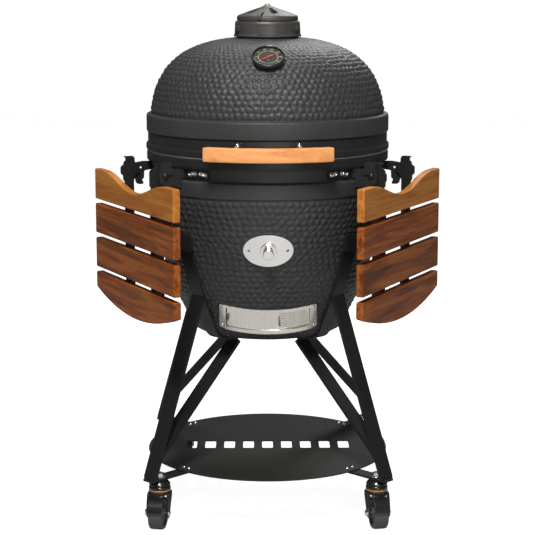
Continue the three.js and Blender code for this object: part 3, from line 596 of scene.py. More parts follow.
def shell_from_rows(name, blocks, materials):
    """A closed turned body from blocks of vertex rings, each block with its own material."""
    rows = np.concatenate([rows for rows, _ in blocks])
    slots = np.concatenate([np.full(len(rows), slot) for rows, slot in blocks])
    count, columns = rows.shape[:2]
    i = np.arange(count)[:, None]
    j = np.arange(columns)[None, :]
    below = (i + 1) % count
    right = (j + 1) % columns
    corners = [i * columns + j, i * columns + right, below * columns + right, below * columns + j]
    quads = np.stack(corners, -1).reshape(-1, 4)
    mesh = bpy.data.meshes.new(name)
    mesh.vertices.add(count * columns)
    mesh.vertices.foreach_set("co", (rows * MM).astype(np.float32).ravel())
    mesh.loops.add(len(quads) * 4)
    mesh.polygons.add(len(quads))
    mesh.loops.foreach_set("vertex_index", quads.astype(np.int32).ravel())
    mesh.polygons.foreach_set("loop_start", (np.arange(len(quads)) * 4).astype(np.int32))
    mesh.polygons.foreach_set("material_index", np.repeat(slots, columns).astype(np.int32))
    mesh.update()
    volume = signed_volume(rows, quads)
    if volume < 0:
        mesh.flip_normals()
    return as_piece(name, mesh, materials, DATUM, 50)


def signed_volume(rows, quads):
    p = rows.reshape(-1, 3)
    a, b, c, d = (p[quads[:, k]] for k in range(4))
    return float((np.cross(b - a, c - a) * a).sum() + (np.cross(c - a, d - a) * a).sum())


def weld(piece):
    work = bmesh.new()
    work.from_mesh(piece.data)
    bmesh.ops.remove_doubles(work, verts=work.verts, dist=1e-5)
    work.to_mesh(piece.data)
    work.free()
    return piece


def plate(outlines, low, high):
    """A flat plate along Z: the first outline is its edge, the others are its holes."""
    curve = bpy.data.curves.new("outline", "CURVE")
    curve.dimensions = "2D"
    curve.fill_mode = "BOTH"
    curve.extrude = (high - low) / 2
    for outline in outlines:
        line = curve.splines.new("POLY")
        line.points.add(len(outline) - 1)
        for point, (x, y) in zip(line.points, outline):
            point.co = (x, y, 0, 1)
        line.use_cyclic_u = True
    thing = bpy.data.objects.new("outline", curve)
    bpy.context.scene.collection.objects.link(thing)
    mesh = bpy.data.meshes.new_from_object(thing)
    work = bmesh.new()
    work.from_mesh(mesh)
    bmesh.ops.remove_doubles(work, verts=work.verts, dist=1e-3)
    middle = (low + high) / 2
    verts = [(v.co.x, v.co.y, v.co.z + middle) for v in work.verts]
    work.verts.ensure_lookup_table()
    faces = [tuple(v.index for v in f.verts) for f in work.faces]
    work.free()
    bpy.data.objects.remove(thing)
    bpy.data.curves.remove(curve)
    bpy.data.meshes.remove(mesh)
    return verts, faces


def wrapped(shape, radius, step=5.0):
    """Bends a plate round the Z axis at the front: X runs round it, Y up, Z is radial."""
    work = bmesh.new()
    made = [work.verts.new(v) for v in shape[0]]
    for face in shape[1]:
        work.faces.new([made[i] for i in face])
    low, high = min(v[0] for v in shape[0]), max(v[0] for v in shape[0])
    cut = low + step
    while cut < high - 0.3 * step:
        geometry = work.verts[:] + work.edges[:] + work.faces[:]
        across = {"plane_co": (cut, 0, 0), "plane_no": (1, 0, 0)}
        bmesh.ops.bisect_plane(work, geom=geometry, dist=1e-4, **across)
        cut += step
    work.verts.index_update()
    verts = []
    for v in work.verts:
        u, height, r = v.co
        verts.append((r * math.sin(u / radius), -r * math.cos(u / radius), height))
    faces = [tuple(v.index for v in f.verts) for f in work.faces]
    work.free()
    return verts, faces


def arc_solid(profile, turn, half, segments=24):
    """A closed (radius, height) profile swept round the front, centred on a turn in degrees."""
    shape = revolve(profile, segments, math.radians(2 * half))
    return moved(shape, turned(turn - 90 - half, "Z"))


def mirrored(profile):
    """The other half of a profile of (radius, height) that is even about height 0."""
    return [(r, -z) for r, z in reversed(profile)]


def circle(radius, count=32, centre=(0, 0), squash=1.0):
    x, y = centre
    angles = [TAU * k / count for k in range(count)]
    return [(x + radius * math.cos(a), y + radius * squash * math.sin(a)) for a in angles]


def combine(piece, operation, *shapes):
    """Cuts shapes out of a piece, or adds them to it. The shapes are in the piece's own frame."""
    temporary = []
    for shape in shapes:
        tool = finished("tool", *shape, piece.data.materials[0], piece.matrix_world)
        modifier = piece.modifiers.new("combine", "BOOLEAN")
        modifier.operation = operation
        modifier.solver = "MANIFOLD"
        modifier.object = tool
        temporary.append(tool)
    bpy.context.view_layer.update()
    graph = bpy.context.evaluated_depsgraph_get()
    mesh = bpy.data.meshes.new_from_object(piece.evaluated_get(graph))
    piece.modifiers.clear()
    old = piece.data
    piece.data = mesh
    bpy.data.meshes.remove(old)
    for tool in temporary:
        data = tool.data
        bpy.data.objects.remove(tool)
        bpy.data.meshes.remove(data)
    return piece


def reshade(piece, sharp=38):
    piece.data.polygons.foreach_set("use_smooth", [True] * len(piece.data.polygons))
    piece.data.set_sharp_from_angle(angle=math.radians(sharp))
    return piece


# ------------------------------------------------------------------ frames of the assembly

DRAFT_R = 205.0
DRAFT_TILT = 18
PORT_R = 262.0
PORT_TILT = 12


def leaning(radius, tilt, front, height):
    """A frame whose front face, at a radius, passes through (front, height) and leans by a tilt."""
    lean = math.radians(tilt)
    axis = at(0, front + radius * math.cos(lean), height + radius * math.sin(lean))
    return axis @ turned(tilt, "X")


DRAFT = leaning(DRAFT_R, DRAFT_TILT, -201.7, 447)
PORT = leaning(PORT_R, PORT_TILT, -261, 620)
GAUGE = at(0, -207, 1036) @ turned(36, "X")
HINGE_Y, HINGE_Z = 338, 812
OUTWARD = turned(90, "X")  # turns a part drawn up Z to point to the front
# Corners of the stand: how far each leg is turned from the rear, and where its caster trails.
CORNERS = (
    ("front_left", 135, 170),
    ("front_right", -135, 190),
    ("rear_left", 45, -90),
    ("rear_right", -45, -90),
)
SHELF_TURN = 117  # the side shelves' turn from the rear


def placed(local):
    """The world matrix of a frame whose origin is given in millimetres above the datum."""
    result = local.copy()
    result.translation = local.translation * MM + DATUM.translation
    return result


# ------------------------------------------------------------------ lid

COLUMNS = 780
GRAIN = 2.1
DOME_TOP = 1081
DOME_SPRING = 864
INNER_R = 250
NECK_R = 276.5
FLANGE_R = 282.7


def dome_line(spring_r, top, low_z, top_r, steps=60):
    """The dome's outline: a superellipse from its low edge to the chimney."""
    side, crown = 2.9, 2.6
    span = (low_z - DOME_SPRING) / (top - DOME_SPRING)
    low_r = spring_r * (1 - span**crown) ** (1 / side)
    line = []
    for i in range(steps + 1):
        t = math.sin(math.pi / 2 * i / steps)
        radius = low_r - (low_r - top_r) * (1 - math.sqrt(1 - t * t))
        rise = max(0.0, 1 - (radius / spring_r) ** side) ** (1 / crown)
        line.append((radius, DOME_SPRING + (top - DOME_SPRING) * rise))
    return line


def blend_in(value, low, high):
    t = min(1.0, max(0.0, (value - low) / (high - low)))
    return t * t * (3 - 2 * t)


def dome_pitch(r, z):
    return 10.0 + 5.5 * blend_in(r, 110, 262)


def dome_relief(r, z):
    return (1.2 + 2.1 * blend_in(r, 120, 262)) * blend_in(z, 908, 913) * blend_in(r, 76, 84)


def lid_dome():
    outside = dome_line(272, DOME_TOP, 908, 74)
    bumps = pebbled(outside, COLUMNS, GRAIN, dome_pitch, dome_relief, 11)
    rim = [(INNER_R, 827), (NECK_R, 827), (NECK_R, 866)]
    rim += [(FLANGE_R, 866), (FLANGE_R, 906), (271, 907)]
    rim = fillet(rim, [2, 2, 0.5, 4, 7, 0.5], 4, closed=False)
    neck = [(66, 1082), (66, 1095), (55, 1095), (55, 1059)]
    inside = dome_line(250, 1059, 906, 72, 30)[::-1]
    blocks = [
        (ring_rows(rim, COLUMNS), 1),
        (bumps, 0),
        (ring_rows(neck, COLUMNS), 1),
        (ring_rows(inside, COLUMNS), 2),
    ]
    piece = shell_from_rows("dome_shell", blocks, [glaze, glaze_smooth, fire_clay])
    return ride_as(piece, "lid", "glazed_ceramic", "lid_dome")


def hoop(profile, rounding, segments):
    return revolve(fillet(profile, rounding, 2), segments)


def bands_and_gaskets():
    inner = NECK_R + 0.3
    lid = [(inner, 824.5), (282, 824.5), (284, 826.6), (284, 836.5), (279.6, 840.5)]
    lid = hoop(lid + [(279.6, 863.5), (279, 865.5), (inner, 865.5)], 1.0, 240)
    add("band_of_lid", lid, band_coat, "lid", "band_steel", "lid_band")
    base = [(inner, 800), (281.5, 800), (282.5, 802), (282.5, 818), (280.8, 821.3), (inner, 821.3)]
    add("band_of_base", hoop(base, 0.8, 240), band_coat, "base", "band_steel", "base_band")
    # Each felt: its far face, the step under the band, and the face where the two felts meet.
    for body, far, step, meet in (("base", 818.3, 821.5, 822.6), ("lid", 826.7, 824.3, 822.9)):
        ring = [(253, far), (276.2, far), (276.2, step), (281.6, step), (281.6, meet), (253, meet)]
        add("felt_of_" + body, hoop(ring, 0.4, 180), felt, body, "felt", body + "_gasket")


GRIP_HALF = 26.3
BRACKET_TURN = 13.3


def handle():
    """A bent wooden bar with rounded edges and ends, on two bolted brackets."""
    section = fillet([(303, 821.5), (325, 821.5), (325, 853), (303, 853)], 3.5, 4)
    centre = (314, 837.2)
    verts, faces = [], []
    steps = 56
    bends = np.linspace(0.25, math.pi / 2, 5)
    ends = [(-GRIP_HALF + 0.6 * (1 - math.cos(a)), math.sin(a)) for a in bends]
    straight = np.linspace(-GRIP_HALF + 1.4, GRIP_HALF - 1.4, steps)
    stations = ends + [(a, 1.0) for a in straight] + [(-a, s) for a, s in reversed(ends)]
    rows = len(section)
    for angle, size in stations:
        size = 0.84 + 0.16 * size
        a = math.radians(angle)
        for r, z in section:
            rr, zz = centre[0] + (r - centre[0]) * size, centre[1] + (z - centre[1]) * size
            verts.append((rr * math.sin(a), -rr * math.cos(a), zz))
    for j in range(len(stations) - 1):
        for i in range(rows):
            n = (i + 1) % rows
            faces.append((j * rows + i, j * rows + n, (j + 1) * rows + n, (j + 1) * rows + i))
    faces.append(tuple(range(rows)))
    faces.append(tuple(reversed(range((len(stations) - 1) * rows, len(stations) * rows))))
    add("grip", (verts, faces), grip_wood, "lid", "handle_wood", "handle_grip", sharp=60)
    nuts, heads = [], []
    for sign in (-1, 1):
        spin = turned(sign * BRACKET_TURN, "Z")
        nuts.append(moved(acorn_nut(14), spin @ at(0, -293, 847)))
        heads.append(moved(pan_head(6, 3), spin @ at(0, -293, 843) @ turned(180, "X")))
    add("handle_nuts", merged(*nuts, *heads), bright, "lid", "zinc_steel")
    for side in ("left", "right"):
        dress("handle_bracket_" + side, band_coat, 0.8)


def vent():
    """Cast base with side lugs and a plain front panel, and the turning cap with its openings."""
    top = 1118
    body = [(60, 1082), (78.5, 1082), (78.5, 1086), (76.6, 1088), (75.4, 1113), (73.5, 1117.6)]
    body = fillet(body + [(10, top), (10, 1113), (67, 1113), (67, 1096), (60, 1094)], 1.2, 3)
    piece = finished("vent_body", *revolve(body, 120), iron)
    slots = [vent_slot(i, 1090, 1140) for i in range(5)]
    combine(piece, "DIFFERENCE", *slots)
    reshade(piece)
    ride_as(piece, "lid", "cast_iron", "vent_base")
    panel = fillet(rounded_box(-25, 25, 1087, 1112, 4), 0.2, 1)
    raised = wrapped(plate([panel], 73, 78.2), 77, 3)
    border = wrapped(plate([panel, rounded_box(-22.6, 22.6, 1089.4, 1109.6, 3)], 77.9, 79.2), 77, 3)
    nubs = []
    for turn in (-62, 62):
        nub = rounded_box(-7, 7, 1094, 1108, 3)
        nubs.append(moved(wrapped(plate([nub], 73, 81.5), 77, 3), turned(turn, "Z")))
        nubs.append(moved(rod(3.2, 3.5, 20), turned(turn, "Z") @ at(0, -80.5, 1101) @ OUTWARD))
    add("vent_panel", merged(raised, border, *nubs), iron, "lid", "cast_iron", soft=0.5)
    low = top + 0.3
    cap = [(0, low - 6), (3.4, low - 6), (3.4, low), (12, low), (12, low + 18), (65, low + 1.5)]
    cap += [(65, low), (70, low), (71, low + 2), (71, low + 9.5), (68, low + 12.5), (40, low + 23)]
    cap += [(15, 1149.5), (8, 1153), (0, 1154)]
    radii = [0, 0.5, 0.5, 0.5, 2, 1, 0.5, 1, 1, 3, 5, 8, 6, 4, 0]
    cap = fillet(cap, radii, 4, closed=False)
    piece = finished("vent_disc", *revolve(cap, 120, closed=False), iron)
    combine(piece, "DIFFERENCE", *[vent_slot(i, low - 2, 1170) for i in range(5)])
    reshade(piece)
    ride_as(piece, "vent_cap", "cast_iron", "vent_cap")
    lug = [(-75.5, low + 1), (-48, low + 1), (-48, low + 22), (-62, low + 22), (-75.5, low + 14)]
    lug = moved(side_plate(fillet(lug, 4, 4), -4.5, 4.5), turned(-15, "Z"))
    add("vent_lug", lug, iron, "vent_cap", "cast_iron", soft=1.4, segments=3)
    pivot = moved(merged(hex_nut(11, 4), rod(3, 6, 20)), at(0, 0, 1151.5))
    add("vent_pivot", pivot, dark_zinc, "vent_cap", "cast_iron", soft=0.4)


def vent_slot(index, low, high):
    outline = fillet([(20, -3), (44, -9), (55, -6), (55, 6), (44, 9), (20, 3)], 2.5, 3)
    return moved(extrude(outline, low, high), turned(-72 + 72 * index, "Z"))


def text_shape(words, size, depth):
    """Raised figures, centred on the origin, up Z."""
    curve = bpy.data.curves.new("figures", "FONT")
    curve.body = words
    curve.size = size
    curve.extrude = depth / 2
    curve.align_x = "CENTER"
    curve.align_y = "CENTER"
    thing = bpy.data.objects.new("figures", curve)
    bpy.context.scene.collection.objects.link(thing)
    bpy.context.view_layer.update()
    mesh = bpy.data.meshes.new_from_object(thing)
    shape = moved(as_shape(mesh), at(0, 0, depth / 2))
    bpy.data.objects.remove(thing)
    bpy.data.curves.remove(curve)
    bpy.data.meshes.remove(mesh)
    return shape


DIAL_START = 214  # direction of the needle at its lowest reading, in degrees
DIAL_SWEEP = 248


def thermometer():
    """Glossy bezel, printed dial, needle and lens on the lid's face, with the probe behind."""
    gauge = {"frame_at": placed(GAUGE)}
    case = [(0, -48), (2.6, -47), (3.1, -44), (3.1, 1), (22, 1), (31, 2.5), (36.2, 6), (37, 10)]
    case += [(36.6, 14), (35, 16), (33.2, 15.4), (32.6, 13.5), (32.6, 10), (0, 10)]
    radii = [0, 0.5, 0.5, 0.5, 2, 4, 3, 3, 2, 1, 1, 1, 0.3, 0]
    case = revolve(fillet(case, radii, 3, closed=False), 96, closed=False)
    add("gauge_case", case, bezel, "lid", "black_steel", "thermometer_case", **gauge)
    face = revolve(fillet([(0.5, 10), (32.3, 10), (32.3, 10.5), (0.5, 10.5)], 0.1, 1), 72)
    add("gauge_face", face, dial_face, "lid", "black_steel", **gauge)
    marks = []
    count = 28
    for i in range(count + 1):
        angle = DIAL_START - DIAL_SWEEP * i / count
        long = i % 4 == 0
        half = 0.4 if long else 0.22
        tick = block(21.4, 24.4 if long else 23, -half, half, 10.4, 10.75)
        marks.append(moved(tick, turned(angle, "Z")))
    for i in range(8):
        angle = math.radians(DIAL_START - DIAL_SWEEP * i / 7)
        figures = text_shape(str(100 * i), 4.2, 0.3)
        marks.append(moved(figures, at(27.6 * math.cos(angle), 27.6 * math.sin(angle), 10.4)))
    marks.append(revolve([(20.8, 10.4), (21.5, 10.4), (21.5, 10.7), (20.8, 10.7)], 96))
    marks.append(moved(text_shape("°F", 4.4, 0.3), at(0, -10.5, 10.4)))
    add("gauge_marks", merged(*marks), dial_print, "lid", "black_steel", **gauge)
    post = moved(rod(1.3, 2.9, 24, 0.3), at(0, 0, 10.2))
    add("gauge_post", post, dark_zinc, "lid", "stainless_steel", **gauge)
    edge = [(-12, -1.5), (4, -1.4), (20, -0.9)]
    pointer = edge + [(22, 0)] + [(x, -y) for x, y in reversed(edge)] + [(-13, 0)]
    pointer = extrude(pointer, 11.2, 12.0)
    hub = moved(rod(2.6, 1.7, 32, 0.4), at(0, 0, 11.0))
    arrow = moved(merged(pointer, hub), turned(DIAL_START, "Z"))
    add("gauge_needle", arrow, needle_red, "needle", "needle_red", "thermometer_needle", **gauge)
    lens = revolve([(0, 13.4), (32.4, 13.2), (32.4, 14.2), (20, 14.7), (0, 14.9)], 72, closed=False)
    add("gauge_lens", lens, glass, "lid", "dial_glass", "thermometer_lens", sharp=60, **gauge)


def hinge():
    """Knuckles on the lid, ears on the base band, and the springs round the pin."""
    dress("lid_hinge_arm", frame_coat, 1.2, 3)
    dress("base_hinge_bracket", frame_coat, 1.2, 3)
    sideways = turned(90, "Y")
    pin = moved(rod(5, 112, 32), at(-56, HINGE_Y, HINGE_Z) @ sideways)
    head = rod(8, 3.4, 32, 1)
    heads = [moved(head, at(x, HINGE_Y, HINGE_Z) @ sideways) for x in (55.6, -59)]
    add("pin", merged(pin, *heads), bright, "base", "stainless_steel", "hinge_pin")
    for name, start in (("left", -36), ("right", 6)):
        coil = []
        steps, turns, length, radius = 160, 4, 30, 9
        for i in range(steps + 1):
            a = TAU * turns * i / steps
            y, z = HINGE_Y + radius * math.cos(a), HINGE_Z + radius * math.sin(a)
            coil.append((start + length * i / steps, y, z))
        spring = tube(coil, 1.8, 10)
        node = "hinge_spring_" + name
        add("coil_" + name, spring, dark_zinc, "base", "stainless_steel", node, sharp=60)
    rearward = turned(-90, "X")
    lid_bolts = [moved(acorn_nut(10), at(x, 289, 845) @ rearward) for x in (-30, 0, 30)]
    add("hinge_nuts_lid", merged(*lid_bolts), bright, "lid", "zinc_steel")
    base_bolts = [moved(acorn_nut(10), at(x, 288, 802) @ rearward) for x in (-62, -24, 24, 62)]
    add("hinge_nuts_base", merged(*base_bolts), bright, "base", "zinc_steel")


# ------------------------------------------------------------------ bowl and fire parts

BOWL_OUTSIDE = [(122, 390), (172, 403), (197, 450), (226, 515), (255, 612), (270, 690)]
BOWL_OUTSIDE += [(275.5, 733)]
BOWL_INSIDE = [(126, 416), (156, 430), (175, 468), (199, 525), (229, 615), (243, 690)]
BOWL_INSIDE += [(INNER_R, 742)]
PORT_SEAT = (58, 39)  # half width and half height of the flat for the poker port


def bowl_relief(r, z):
    return 2.9 * blend_in(z, 396, 412) * (1 - blend_in(z, 724, 731))


def bowl_pitch(r, z):
    return 13.0 + 3.0 * blend_in(r, 170, 250)


def bowl():
    bumps = pebbled(spline(BOWL_OUTSIDE), COLUMNS, GRAIN, bowl_pitch, bowl_relief, 23)
    collar = [(275.5, 733.4), (278.4, 735), (278.4, 769), (270, 772), (270, 797)]
    collar += [(NECK_R, 797), (NECK_R, 818), (INNER_R, 818)]
    collar = fillet(collar, [0.5, 3, 4, 2, 2, 1, 2, 2], 4, closed=False)
    inside = spline(BOWL_INSIDE, 6)[::-1] + [(60, 416), (0, 416)]
    foot = [(0, 390), (60, 390), (118, 390)]
    blocks = [
        (ring_rows(foot, COLUMNS), 1),
        (bumps, 0),
        (ring_rows(collar, COLUMNS), 1),
        (ring_rows(inside, COLUMNS), 2),
    ]
    piece = weld(shell_from_rows("bowl_shell", blocks, [glaze, glaze_smooth, fire_clay]))
    sector = [(172, -30.5), (196, -30.5), (196, 30.5), (172, 30.5)]
    seat = moved(arc_solid(sector, 0, 33, 48), DRAFT)
    oval = circle(PORT_SEAT[0], 64, squash=PORT_SEAT[1] / PORT_SEAT[0])
    port_seat = moved(wrapped(plate([oval], 244, 257.5), PORT_R), PORT)
    combine(piece, "UNION", seat, port_seat)
    pocket = moved(arc_solid([(196, -34), (250, -34), (250, 32), (196, 32)], 0, 33.6, 48), DRAFT)
    opening = moved(arc_solid([(140, -20), (250, -20), (250, 20), (140, 20)], 0, 25, 48), DRAFT)
    port_pocket = moved(wrapped(plate([oval], 257.5, 290), PORT_R), PORT)
    port_hole = moved(moved(rod(16, 120, 48), at(0, -190, 0) @ OUTWARD), PORT)
    combine(piece, "DIFFERENCE", pocket, opening, port_pocket, port_hole)
    reshade(piece, 50)
    return ride_as(piece, "base", "glazed_ceramic", "bowl")


def fire_parts():
    pot = [(100, 416.3), (118, 416.3), (136, 432), (164, 510), (196, 612), (176, 612)]
    pot += [(146, 512), (137, 486), (137, 484), (118, 484), (104, 440)]
    piece = finished("ash_pot", *revolve(fillet(pot, 2, 2), 96), fire_clay)
    combine(piece, "DIFFERENCE", side_plate(rounded_box(-220, -60, 429, 468, 6), -62, 62))
    reshade(piece)
    ride_as(piece, "base", "raw_ceramic", "fire_box")
    ring = [(178, 612.3), (197, 612.3), (240, 714), (240, 726), (221, 726)]
    add("heat_ring", hoop(ring, 3, 144), fire_clay, "base", "raw_ceramic", "fire_ring")
    low = 484.3
    holes = [circle(12, 32)]
    for i in range(-3, 4):
        x = i * 32
        reach = math.sqrt(118**2 - x * x)
        inner = 24 if i == 0 else 8
        holes.append(rounded_box(x - 5, x + 5, inner, reach, 4.5))
        holes.append(rounded_box(x - 5, x + 5, -reach, -inner, 4.5))
    coals = plate([circle(134, 96)] + holes, low, low + 8)
    add("coal_plate", coals, black_iron, "base", "cast_iron", "charcoal_grate", soft=1.0)
    low = 726.3
    bars = [tube([(x, y, low + 4) for x, y in circle(233, 96)], 4, 12, True)]
    for i in range(-12, 13):
        y = i * 17
        reach = math.sqrt(232**2 - y * y)
        bars.append(tube([(-reach, y, low + 5), (reach, y, low + 5)], 2.6, 10))
    for x in (-90, 90):
        bars.append(tube([(x, -212, low + 1.2), (x, 212, low + 1.2)], 2.6, 10))
    bars = merged(*bars)
    add("cooking_rods", bars, steel, "base", "stainless_steel", "cooking_grate", sharp=60)


def half_moon(angle, reach, half_height, thick):
    """A pull that stands out from a panel like a fingernail, at a turn in degrees."""
    turns = [math.pi * k / 12 for k in range(13)]
    edge = [(201.4, -half_height)]
    edge += [(202.6 + reach * math.sin(a), -half_height * math.cos(a)) for a in turns]
    edge += [(201.4, half_height)]
    shape = side_plate([(-r, z) for r, z in edge], -thick / 2, thick / 2)
    return moved(shape, turned(angle, "Z"))


def draft():
    """Frame with rails, a solid door and a perforated screen, sliding one behind the other."""
    leaned = {"frame_at": placed(DRAFT)}
    per_degree = math.radians(1) * DRAFT_R
    wide = 33 * per_degree
    back = rounded_box(-wide, wide, -30.5, 30.5, 8)
    window = rounded_box(-25.5 * per_degree, 25.5 * per_degree, -21, 21, 3)
    parts = [wrapped(plate([back, window], 196.3, 198.3), DRAFT_R)]
    rail = [(198.2, 27), (203.4, 27), (203.4, 23), (205, 23), (205, 30.5), (198.2, 30.5)]
    parts.append(arc_solid(rail, 0, 28.9, 40))
    parts.append(arc_solid([(r, -z - (1.8 if z > 30 else 0)) for r, z in rail], 0, 28.9, 40))
    tab_inner = 28.0 * per_degree
    for sign in (-1, 1):
        near, far = sign * tab_inner, sign * wide
        outline = [(near, -30.4), (far, -30.4), (far, 30.4), (near, 30.4)]
        outline = fillet(outline, [0.5, 9, 9, 0.5], 5)
        parts.append(wrapped(plate([outline], 196.5, 204.8), DRAFT_R))
    rails = merged(*parts)
    add("draft_rails", rails, steel, "base", "stainless_steel", "draft_frame", soft=0.5, **leaned)
    screws = []
    for turn in (-30.7, 30.7):
        for z in (-24, 24):
            spot = turned(turn, "Z") @ at(0, -204.6, z) @ OUTWARD
            screws.append(moved(pan_head(3.2, 1.8), spot))
    add("draft_screws", merged(*screws), bright, "base", "zinc_steel", **leaned)
    across = 17.5 * per_degree
    sheet = rounded_box(-across, across, -26.3, 26.3, 2)
    door = moved(wrapped(plate([sheet], 201.2, 202.6), DRAFT_R), turned(-10, "Z"))
    # The pulls get the darkened steel, a painted shadow of the gap behind them.
    pulls = merged(half_moon(7.2, 11, 12, 2.2), half_moon(-27.0, 9, 9, 2.2))
    add("door_pulls", pulls, pull_painted_shadow, "draft_door", "zinc_steel", **leaned)
    slides = ("draft_door", "stainless_steel", "draft_door")
    add("door_panel", door, steel, *slides, soft=0.35, **leaned)
    holes = []
    pitch, rows = 5.0, 9
    columns = int(2 * (across - 5) / pitch)
    for i in range(columns + 1):
        for j in range(rows):
            shift = 0.5 * pitch * (j % 2)
            x = -across + 5 + i * pitch + shift
            if x < across - 4:
                holes.append(circle(1.25, 8, (x, (j - (rows - 1) / 2) * 4.4)))
    screen = moved(wrapped(plate([sheet] + holes, 199.0, 200.4), DRAFT_R), turned(10, "Z"))
    slides = ("spark_screen", "stainless_steel", "spark_screen")
    add("screen_panel", screen, steel, *slides, **leaned)


def port():
    """Oval plate with rivets round the poker port, and its turned plug."""
    leaned = {"frame_at": placed(PORT)}
    oval = plate([circle(56.5, 72, squash=37.5 / 56.5), circle(14.8, 40)], 257.9, PORT_R)
    fixed = ("base", "stainless_steel", "port_plate")
    add("port_oval", wrapped(oval, PORT_R), port_steel, *fixed, soft=0.8, **leaned)
    rivets = []
    for sign in (-1, 1):
        spot = turned(math.degrees(sign * 43 / PORT_R), "Z") @ at(0, -PORT_R + 0.1, 0)
        rivets.append(moved(pan_head(3.4, 2.2), spot @ OUTWARD))
    add("port_rivets", merged(*rivets), dark_zinc, "base", "zinc_steel", **leaned)
    r = PORT_R
    plug = [(0, 234), (13.6, 234), (14, 236), (14, r + 0.6), (18, r + 0.6), (18.4, r + 2.4)]
    plug += [(17.4, r + 3.2), (10.5, r + 3.6), (9.4, r + 6), (9.8, r + 12), (12.2, r + 15.5)]
    plug += [(12.5, r + 21), (11.6, r + 24.4), (9, r + 25), (0, r + 24.2)]
    plug = moved(revolve(fillet(plug, 1.2, 3, closed=False), 64, closed=False), OUTWARD)
    add("port_stopper", plug, port_steel, "port_plug", "stainless_steel", "port_plug", **leaned)


# ------------------------------------------------------------------ stand

FOOT_LOW = 112 - LIFT  # underside of the foot bars, above the datum
FOOT_TOP = FOOT_LOW + 5
FOOT_END = 387
CASTER_REACH = 350
CASTER_TRAIL = 18
HOOD_R = 43  # outside of the caster's hood, from its axle
WHEEL_R = 37.5


def beside(points, distance):
    out = []
    for i, p in enumerate(points):
        a, b = Vector(points[max(i - 1, 0)]), Vector(points[min(i + 1, len(points) - 1)])
        along = (b - a).normalized()
        out.append((p[0] + along.y * distance, p[1] - along.x * distance))
    return out


def bent_bar(line, thick, wide):
    outline = beside(line, thick / 2) + beside(line, -thick / 2)[::-1]
    return side_plate(outline, -wide / 2, wide / 2)


def leg(corner, turn):
    """Strap under the bowl, leg and brace meeting over the foot bar, drawn outwards along +Y."""
    frame_at = DATUM @ turned(turn, "Z")
    wall = [p for p in spline(BOWL_OUTSIDE, 8) if p[1] < 636]
    strap = bent_bar(beside([(116, 390)] + wall + [(260.7, 640)], 3.9), 5, 38)
    pad = extrude(rounded_box(-23, 23, 608, 645, 5), 262.2, 272)
    pad = remap(pad, lambda v: (v.x, v.z, v.y))
    post_top, post_foot = Vector((224, 500)), Vector((FOOT_END - 7, FOOT_LOW + 1))
    end = post_foot.lerp(post_top, 0.13)
    brace_top = Vector((110, 379))
    along = post_foot - post_top
    face = fillet([(-19, 0), (19, 0), (19, along.length), (-19, along.length)], [1, 1, 11, 11], 5)
    face = plate([face], -4, 4)
    across = Vector((0, -along.y, along.x)) / along.length
    down = Vector((0, along.x, along.y)) / along.length
    start = Vector((0, *post_top))
    post = remap(face, lambda v: start + Vector((v.x, 0, 0)) + down * v.y + across * v.z)
    brace = bent_bar([tuple(brace_top), tuple(end)], 8, 36)
    foot = extrude(rounded_box(-16, 16, 190, FOOT_END, 3), FOOT_LOW, FOOT_TOP)
    shapes = [strap, pad, post, brace, foot]
    piece = finished("leg_frame_" + corner, *merged(*shapes), frame_coat, frame_at)
    flat_foot = block(-60, 60, 100, 520, FOOT_LOW - 80, FOOT_LOW)
    hole = moved(rod(6.6, 40, 32, 0.1), at(0, CASTER_REACH, FOOT_LOW - 10))
    trimmed_parts(piece, shapes, flat_foot, hole)
    soften(piece, 0.9)
    ride_as(piece, "base", "black_steel", "leg_" + corner)
    washer = revolve(fillet([(6.8, 0), (14, 0), (14, 1.8), (6.8, 1.8)], 0.4, 2), 40)
    nut = moved(hex_nut(18, 8), at(0, 0, 1.8))
    bolt = moved(merged(washer, nut), at(0, CASTER_REACH, FOOT_TOP))
    leg_frame = {"frame_at": frame_at}
    add("leg_bolts_" + corner, bolt, bright, "base", "zinc_steel", soft=0.5, **leg_frame)


def trimmed_parts(piece, shapes, below, hole):
    """Joins the weldment's parts into one body and trims what would pass the foot bar."""
    first = finished("tool", *shapes[0], piece.data.materials[0], piece.matrix_world)
    combine(first, "UNION", *shapes[1:])
    combine(first, "DIFFERENCE", below, hole)
    old = piece.data
    piece.data = first.data
    piece.data.name = piece.name
    bpy.data.objects.remove(first)
    bpy.data.meshes.remove(old)
    reshade(piece)


def bottom_shelf():
    low = FOOT_TOP + 0.3
    slots = [rounded_box(i * 46 - 13, i * 46 + 13, -27, 37, 5) for i in range(-4, 5)]
    disc = plate([circle(287, 160)] + slots, low, low + 3)
    add("lower_plate", disc, shelf_coat, "base", "black_steel", "bottom_shelf", soft=0.8)
    heads = []
    for _, turn, _ in CORNERS:
        for x in (-8.5, 8.5):
            heads.append(moved(pan_head(4.6, 3.0), turned(turn, "Z") @ at(x, 267, low + 3)))
    add("lower_plate_screws", merged(*heads), bright, "base", "zinc_steel")


def round_axle(radius, degrees):
    """A point about the wheel's axle, seen from the side."""
    a = math.radians(degrees)
    return CASTER_TRAIL + radius * math.cos(a), WHEEL_R + radius * math.sin(a)


def caster_hood():
    """Band over the wheel, hanging from the crown."""
    outer = [round_axle(HOOD_R, d) for d in range(14, 79, 4)]
    inner = [round_axle(HOOD_R - 2.5, d) for d in range(122, 13, -4)]
    return side_plate(fillet(outer + [(22, 84), (-8, 84)] + inner, 0.8, 2), -16.5, 16.5)


